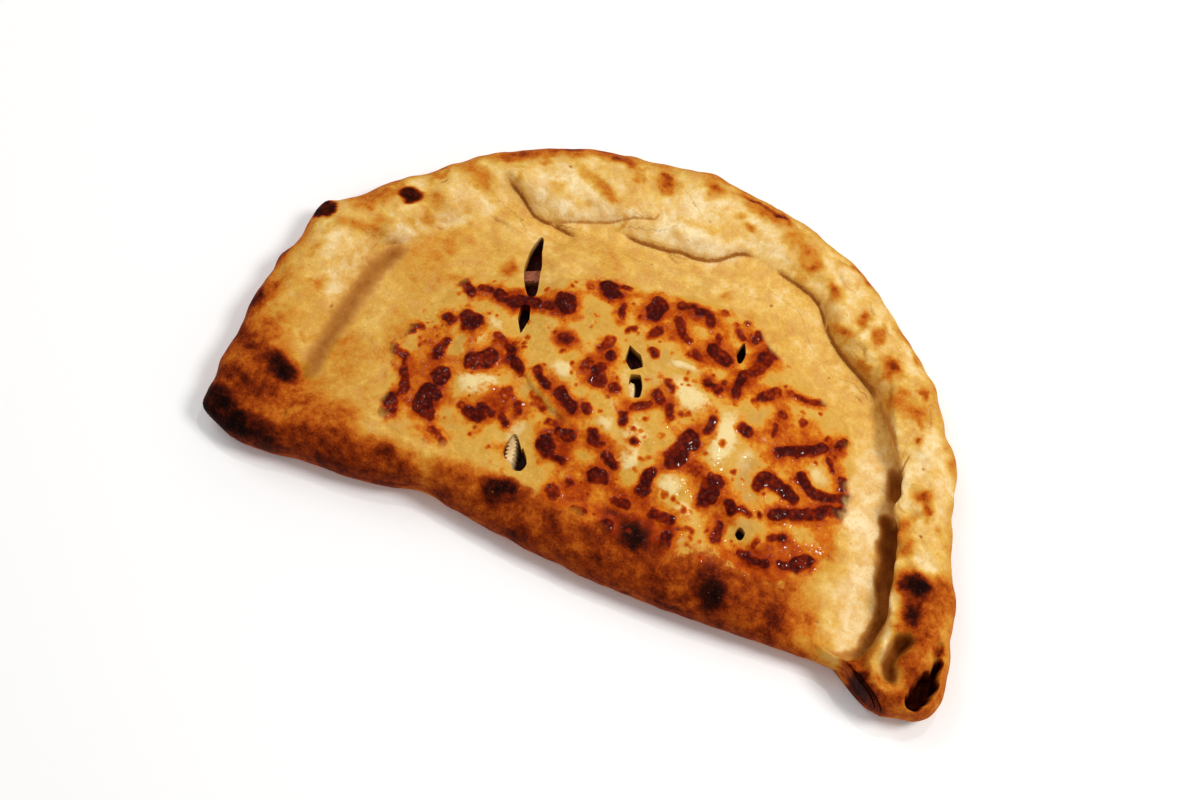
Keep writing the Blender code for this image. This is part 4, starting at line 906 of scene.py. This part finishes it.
def bakedFinish(name):  # one finish for dough and cheese, so that they run into each other
    f = Finish(name)
    place = f.node("ShaderNodeTexCoord", out=3)
    broad, middling, fine = f.noise(place, 9, 3), f.noise(place, 2.6, 3, 0.6), f.noise(place, 0.8, 2, 0.6)
    bake, blush, cheese, pool = (f.attribute(kind) for kind in ("bake", "blush", "cheese", "pool"))

    uneven, grain = f.noise(place, 4.6, 4, 0.6, 0.4), f.noise(place, 1.3, 3, 0.7)
    baked = bake + (broad - 0.5) * 0.24 + (uneven - 0.5) * 0.34 + (middling - 0.5) * 0.24 + (fine - 0.5) * 0.2
    crust = f.ramp(baked, crustStops)
    pale = baked.between(0.46, 0.30)
    crust = f.blend((uneven - 0.44).between(0.0, 0.2) * pale * 0.3, crust, (*paint(*tones["rosy"]), 1))
    pores = f.node("ShaderNodeTexVoronoi", {}, {"Vector": place, "Scale": 1 / (3.4 * mm)})
    crust = f.blend(pores.between(0.17, 0.05) * grain.between(0.45, 0.65) * 0.5, crust, (*paint(*tones["pore"]), 1))

    inside = (f.attribute("shred") - 0.5) * 6 + (middling - 0.5) * 0.8 + (fine - 0.5) * 0.4
    core = inside.between(-1.2, 1.2)
    bubbles = f.node("ShaderNodeTexVoronoi", {"feature": "SMOOTH_F1"}, {"Vector": place, "Scale": 1 / (1.7 * mm), "Smoothness": 0.4})
    tone = f.attribute("tone")
    heat = core * (tone * 0.54 + 0.36) * (broad * 0.8 + 0.6) + (bubbles - 0.42) * core * 0.4
    heat = heat.highest(blush * 0.68 + (middling - 0.5) * 0.4 + (broad - 0.5) * 0.5) + (uneven - 0.5) * 0.34 + (grain - 0.5) * 0.2
    creamy = (pool + (middling - 0.5) * 0.8 + (uneven - 0.5) * 1.2).between(0.12, 0.75)
    melted = f.blend(creamy, f.ramp(broad * 0.5 + grain * 0.5, cheeseStops), (*paint(*tones["cream"]), 1))
    melted = f.blend(f.attribute("grey") * 0.7, melted, (*paint(*tones["grey"]), 1))
    melted = f.blend(baked.between(0.42, 0.62), melted, crust)
    melted = f.blend(heat.between(0.08, 0.32), melted, f.ramp(heat.highest(baked - 0.1), meltStops))
    colour = f.blend((cheese + (middling - 0.5) * 0.5).between(0.1, 0.9), crust, melted)

    # Painted shade: the groove and valley shade, the shade in creases, valleys and pits, and the thin dark crease lines
    # (shade at the foot of each fold, with some browning) darken the colour through the shade ramp.
    awayFromLine = f.node("ShaderNodeMath", {"operation": "ABSOLUTE"}, {0: (f.attribute("creaseSide") - 0.5) * 20 + (fine - 0.5) * 0.8})
    line = awayFromLine.between(0.8, 0.1) * f.attribute("creaseDark")
    dark = f.attribute("shade").highest(f.attribute("recessShade") * 0.9).highest(line * 0.6)
    dark = dark + (middling - 0.5) * 0.2 * dark.between(0.0, 0.2) + (uneven - 0.5) * 0.2 * dark.between(0.0, 0.2)
    colour = f.blend(dark.between(0.02, 0.3), colour, f.ramp(dark, shadeStops), "DARKEN")
    # the slit walls take a dark brown: crumb colour darkened as painted shade down the slit
    colour = f.blend(f.attribute("crumbAndShade"), colour, (*paint(*tones["crumbAndShade"]), 1))
    f.feed(f.shader.inputs["Base Color"], colour)
    f.feed(f.shader.inputs["Roughness"], 0.72 - cheese * 0.2 + (fine - 0.5) * 0.2)
    wet = (grain + fine * 0.6 - 0.9).between(0.0, 0.06) * cheese.between(0.5, 0.9)
    f.feed(f.shader.inputs["Coat Weight"], wet)
    f.shader.inputs["Coat Roughness"].default_value = 0.08
    f.shader.inputs["Specular IOR Level"].default_value = 0.03
    relief = broad * 0.4 + uneven * 0.5 + middling * 0.3 + fine * 0.14 - line * 0.4 - bubbles * core * cheese * 0.5
    bump = f.node("ShaderNodeBump", {}, {"Strength": 0.9, "Distance": 1.0 * mm, "Height": relief})
    f.feed(f.shader.inputs["Normal"], bump)
    return f.material


def fillingFinish():
    f = Finish("tomato_filling")
    place = f.node("ShaderNodeTexCoord", out=3)
    chunky, fine = f.noise(place, 4, 3, 0.6), f.noise(place, 1.2, 2)
    sauce = f.ramp(chunky, [(0.3, (26, 4, 2)), (0.55, (56, 9, 4)), (0.75, (92, 20, 8))])
    ham, curd = f.attribute("ham"), f.attribute("curd")
    colour = f.blend(ham, sauce, f.ramp(fine, [(0.3, (140, 74, 50)), (0.7, (176, 108, 82))]))
    colour = f.blend(curd, colour, f.ramp(fine, [(0.3, (214, 178, 120)), (0.7, (236, 208, 156))]))
    f.feed(f.shader.inputs["Base Color"], colour)
    f.feed(f.shader.inputs["Roughness"], 0.32 + fine * 0.2)
    f.shader.inputs["Specular IOR Level"].default_value = 0.12
    bump = f.node("ShaderNodeBump", {}, {"Strength": 0.6, "Distance": 0.8 * mm, "Height": chunky + fine * 0.3})
    f.feed(f.shader.inputs["Normal"], bump)
    return f.material


# What shows in the slits: strips of ham and curds of cheese in the tomato.
strips = {
    "ham": [([(-55, 14), (-49, 16), (-43, 17.5)], 3.2)],
    "curd": [([(1.6, -12.6), (2.6, -15), (3.8, -18.6)], 1.4), ([(-29, -42), (-27, -49), (-25.5, -57)], 2.2)],
}


def stripShare(kind, x, y):
    return np.max([smooth(width * 1.15, width * 0.75, strokeDistance(x, y, line)[0]) for line, width in strips[kind]], axis=0)


def fillingRidges(x, y):
    return np.maximum(3.6 * stripShare("ham", x, y), 5.4 * stripShare("curd", x, y)) + 0.7 * lumps(x, y, 5, 19.0)


dough = makeDough()
print("dough shaped")
cheese = makeCheese()
print("cheese melted")
hollow = layerBody("hollow", 0, 5.0, 4.5)
blades = [slitCutter(f"blade_{i}", slit, 9, 45) for i, slit in enumerate(slits)]
facets["inside"] = (300, 170)
filling = layerBody("filling_tomato", 1.2, 6.6, 5.5, ridged=fillingRidges)
carve(dough, [hollow, *blades])
carve(cheese, blades)
for cutter in (hollow, *blades):
    bpy.data.objects.remove(cutter)
print("slits cut:", len(dough.data.polygons), len(cheese.data.polygons))

finish = bakedFinish("baked_dough")
for made in (dough, cheese):
    addFinishAttributes(made)
    made.data.materials.clear()
    made.data.materials.append(finish)
places = readPlaces(filling.data)
for kind in strips:
    setAttribute(filling.data, kind, stripShare(kind, places[:, 0], places[:, 1]) * smooth(8, 12, places[:, 2]))
filling.data.materials.append(fillingFinish())
for made in (dough, cheese, filling):
    made.data.shade_smooth()
    made.data.set_sharp_from_angle(angle=math.radians(48))

for made, node, slot in ((dough, "dough", "baked_dough"), (cheese, "cheese", "melted_cheese"), (filling, "filling", "tomato_filling")):
    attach(made, "root")
    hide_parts(node)
print("finishes made")

# ---- floor, light and camera ----

studio = {
    "floor": 3.0, "world": 0.46,
    "lights": [  # place, size, power, colour
        ((0.62, 0.16, 0.98), 0.36, 7.1, (1.0, 0.985, 0.96)),
        ((-0.80, 0.35, 1.1), 0.9, 4.2, (1.0, 0.99, 0.98)),
        ((0.10, 0.36, 1.1), 0.03, 1.2, (1.0, 1.0, 1.0)),
    ],
    "elevation": 68.0, "azimuth": 24.5, "distance": 0.75, "aim": (-0.0104, -0.0122, 0.0), "lens": 63.15,
}

ground = bmesh.new()
bmesh.ops.create_circle(ground, cap_ends=True, segments=96, radius=studio["floor"])
bmesh.ops.translate(ground, verts=ground.verts, vec=(0, 0, -0.2 * mm))
floor = finishObject("studio_floor", ground)
floorFinish = Finish("studio_floor")
floorFinish.shader.inputs["Base Color"].default_value = (0.98, 0.98, 0.98, 1)
floorFinish.shader.inputs["Roughness"].default_value = 0.8
floor.data.materials.append(floorFinish.material)

world = bpy.data.worlds.new("studio")
world.use_nodes = True
world.node_tree.nodes["Background"].inputs["Color"].default_value = (1, 1, 1, 1)
world.node_tree.nodes["Background"].inputs["Strength"].default_value = studio["world"]
bpy.context.scene.world = world
for i, (at, size, power, colour) in enumerate(studio["lights"]):
    lamp = bpy.data.lights.new(f"light_{i}", "AREA")
    lamp.shape, lamp.size, lamp.energy, lamp.color = "DISK", size, power, colour
    light = bpy.data.objects.new(f"light_{i}", lamp)
    light.location = at
    light.rotation_euler = (-Vector(at)).to_track_quat("-Z", "Y").to_euler()
    bpy.context.scene.collection.objects.link(light)

elevation, azimuth = math.radians(studio["elevation"]), math.radians(studio["azimuth"])
back = Vector((math.sin(azimuth) * math.cos(elevation), -math.cos(azimuth) * math.cos(elevation), math.sin(elevation)))
camera = bpy.data.objects.new("camera", bpy.data.cameras.new("camera"))
camera.data.lens, camera.data.sensor_width = studio["lens"], 36
camera.location = Vector(studio["aim"]) + back * studio["distance"]
camera.rotation_euler = back.to_track_quat("Z", "Y").to_euler()
bpy.context.scene.collection.objects.link(camera)
bpy.context.scene.camera = camera
bpy.context.scene.view_settings.view_transform = "Standard"
print("studio set")
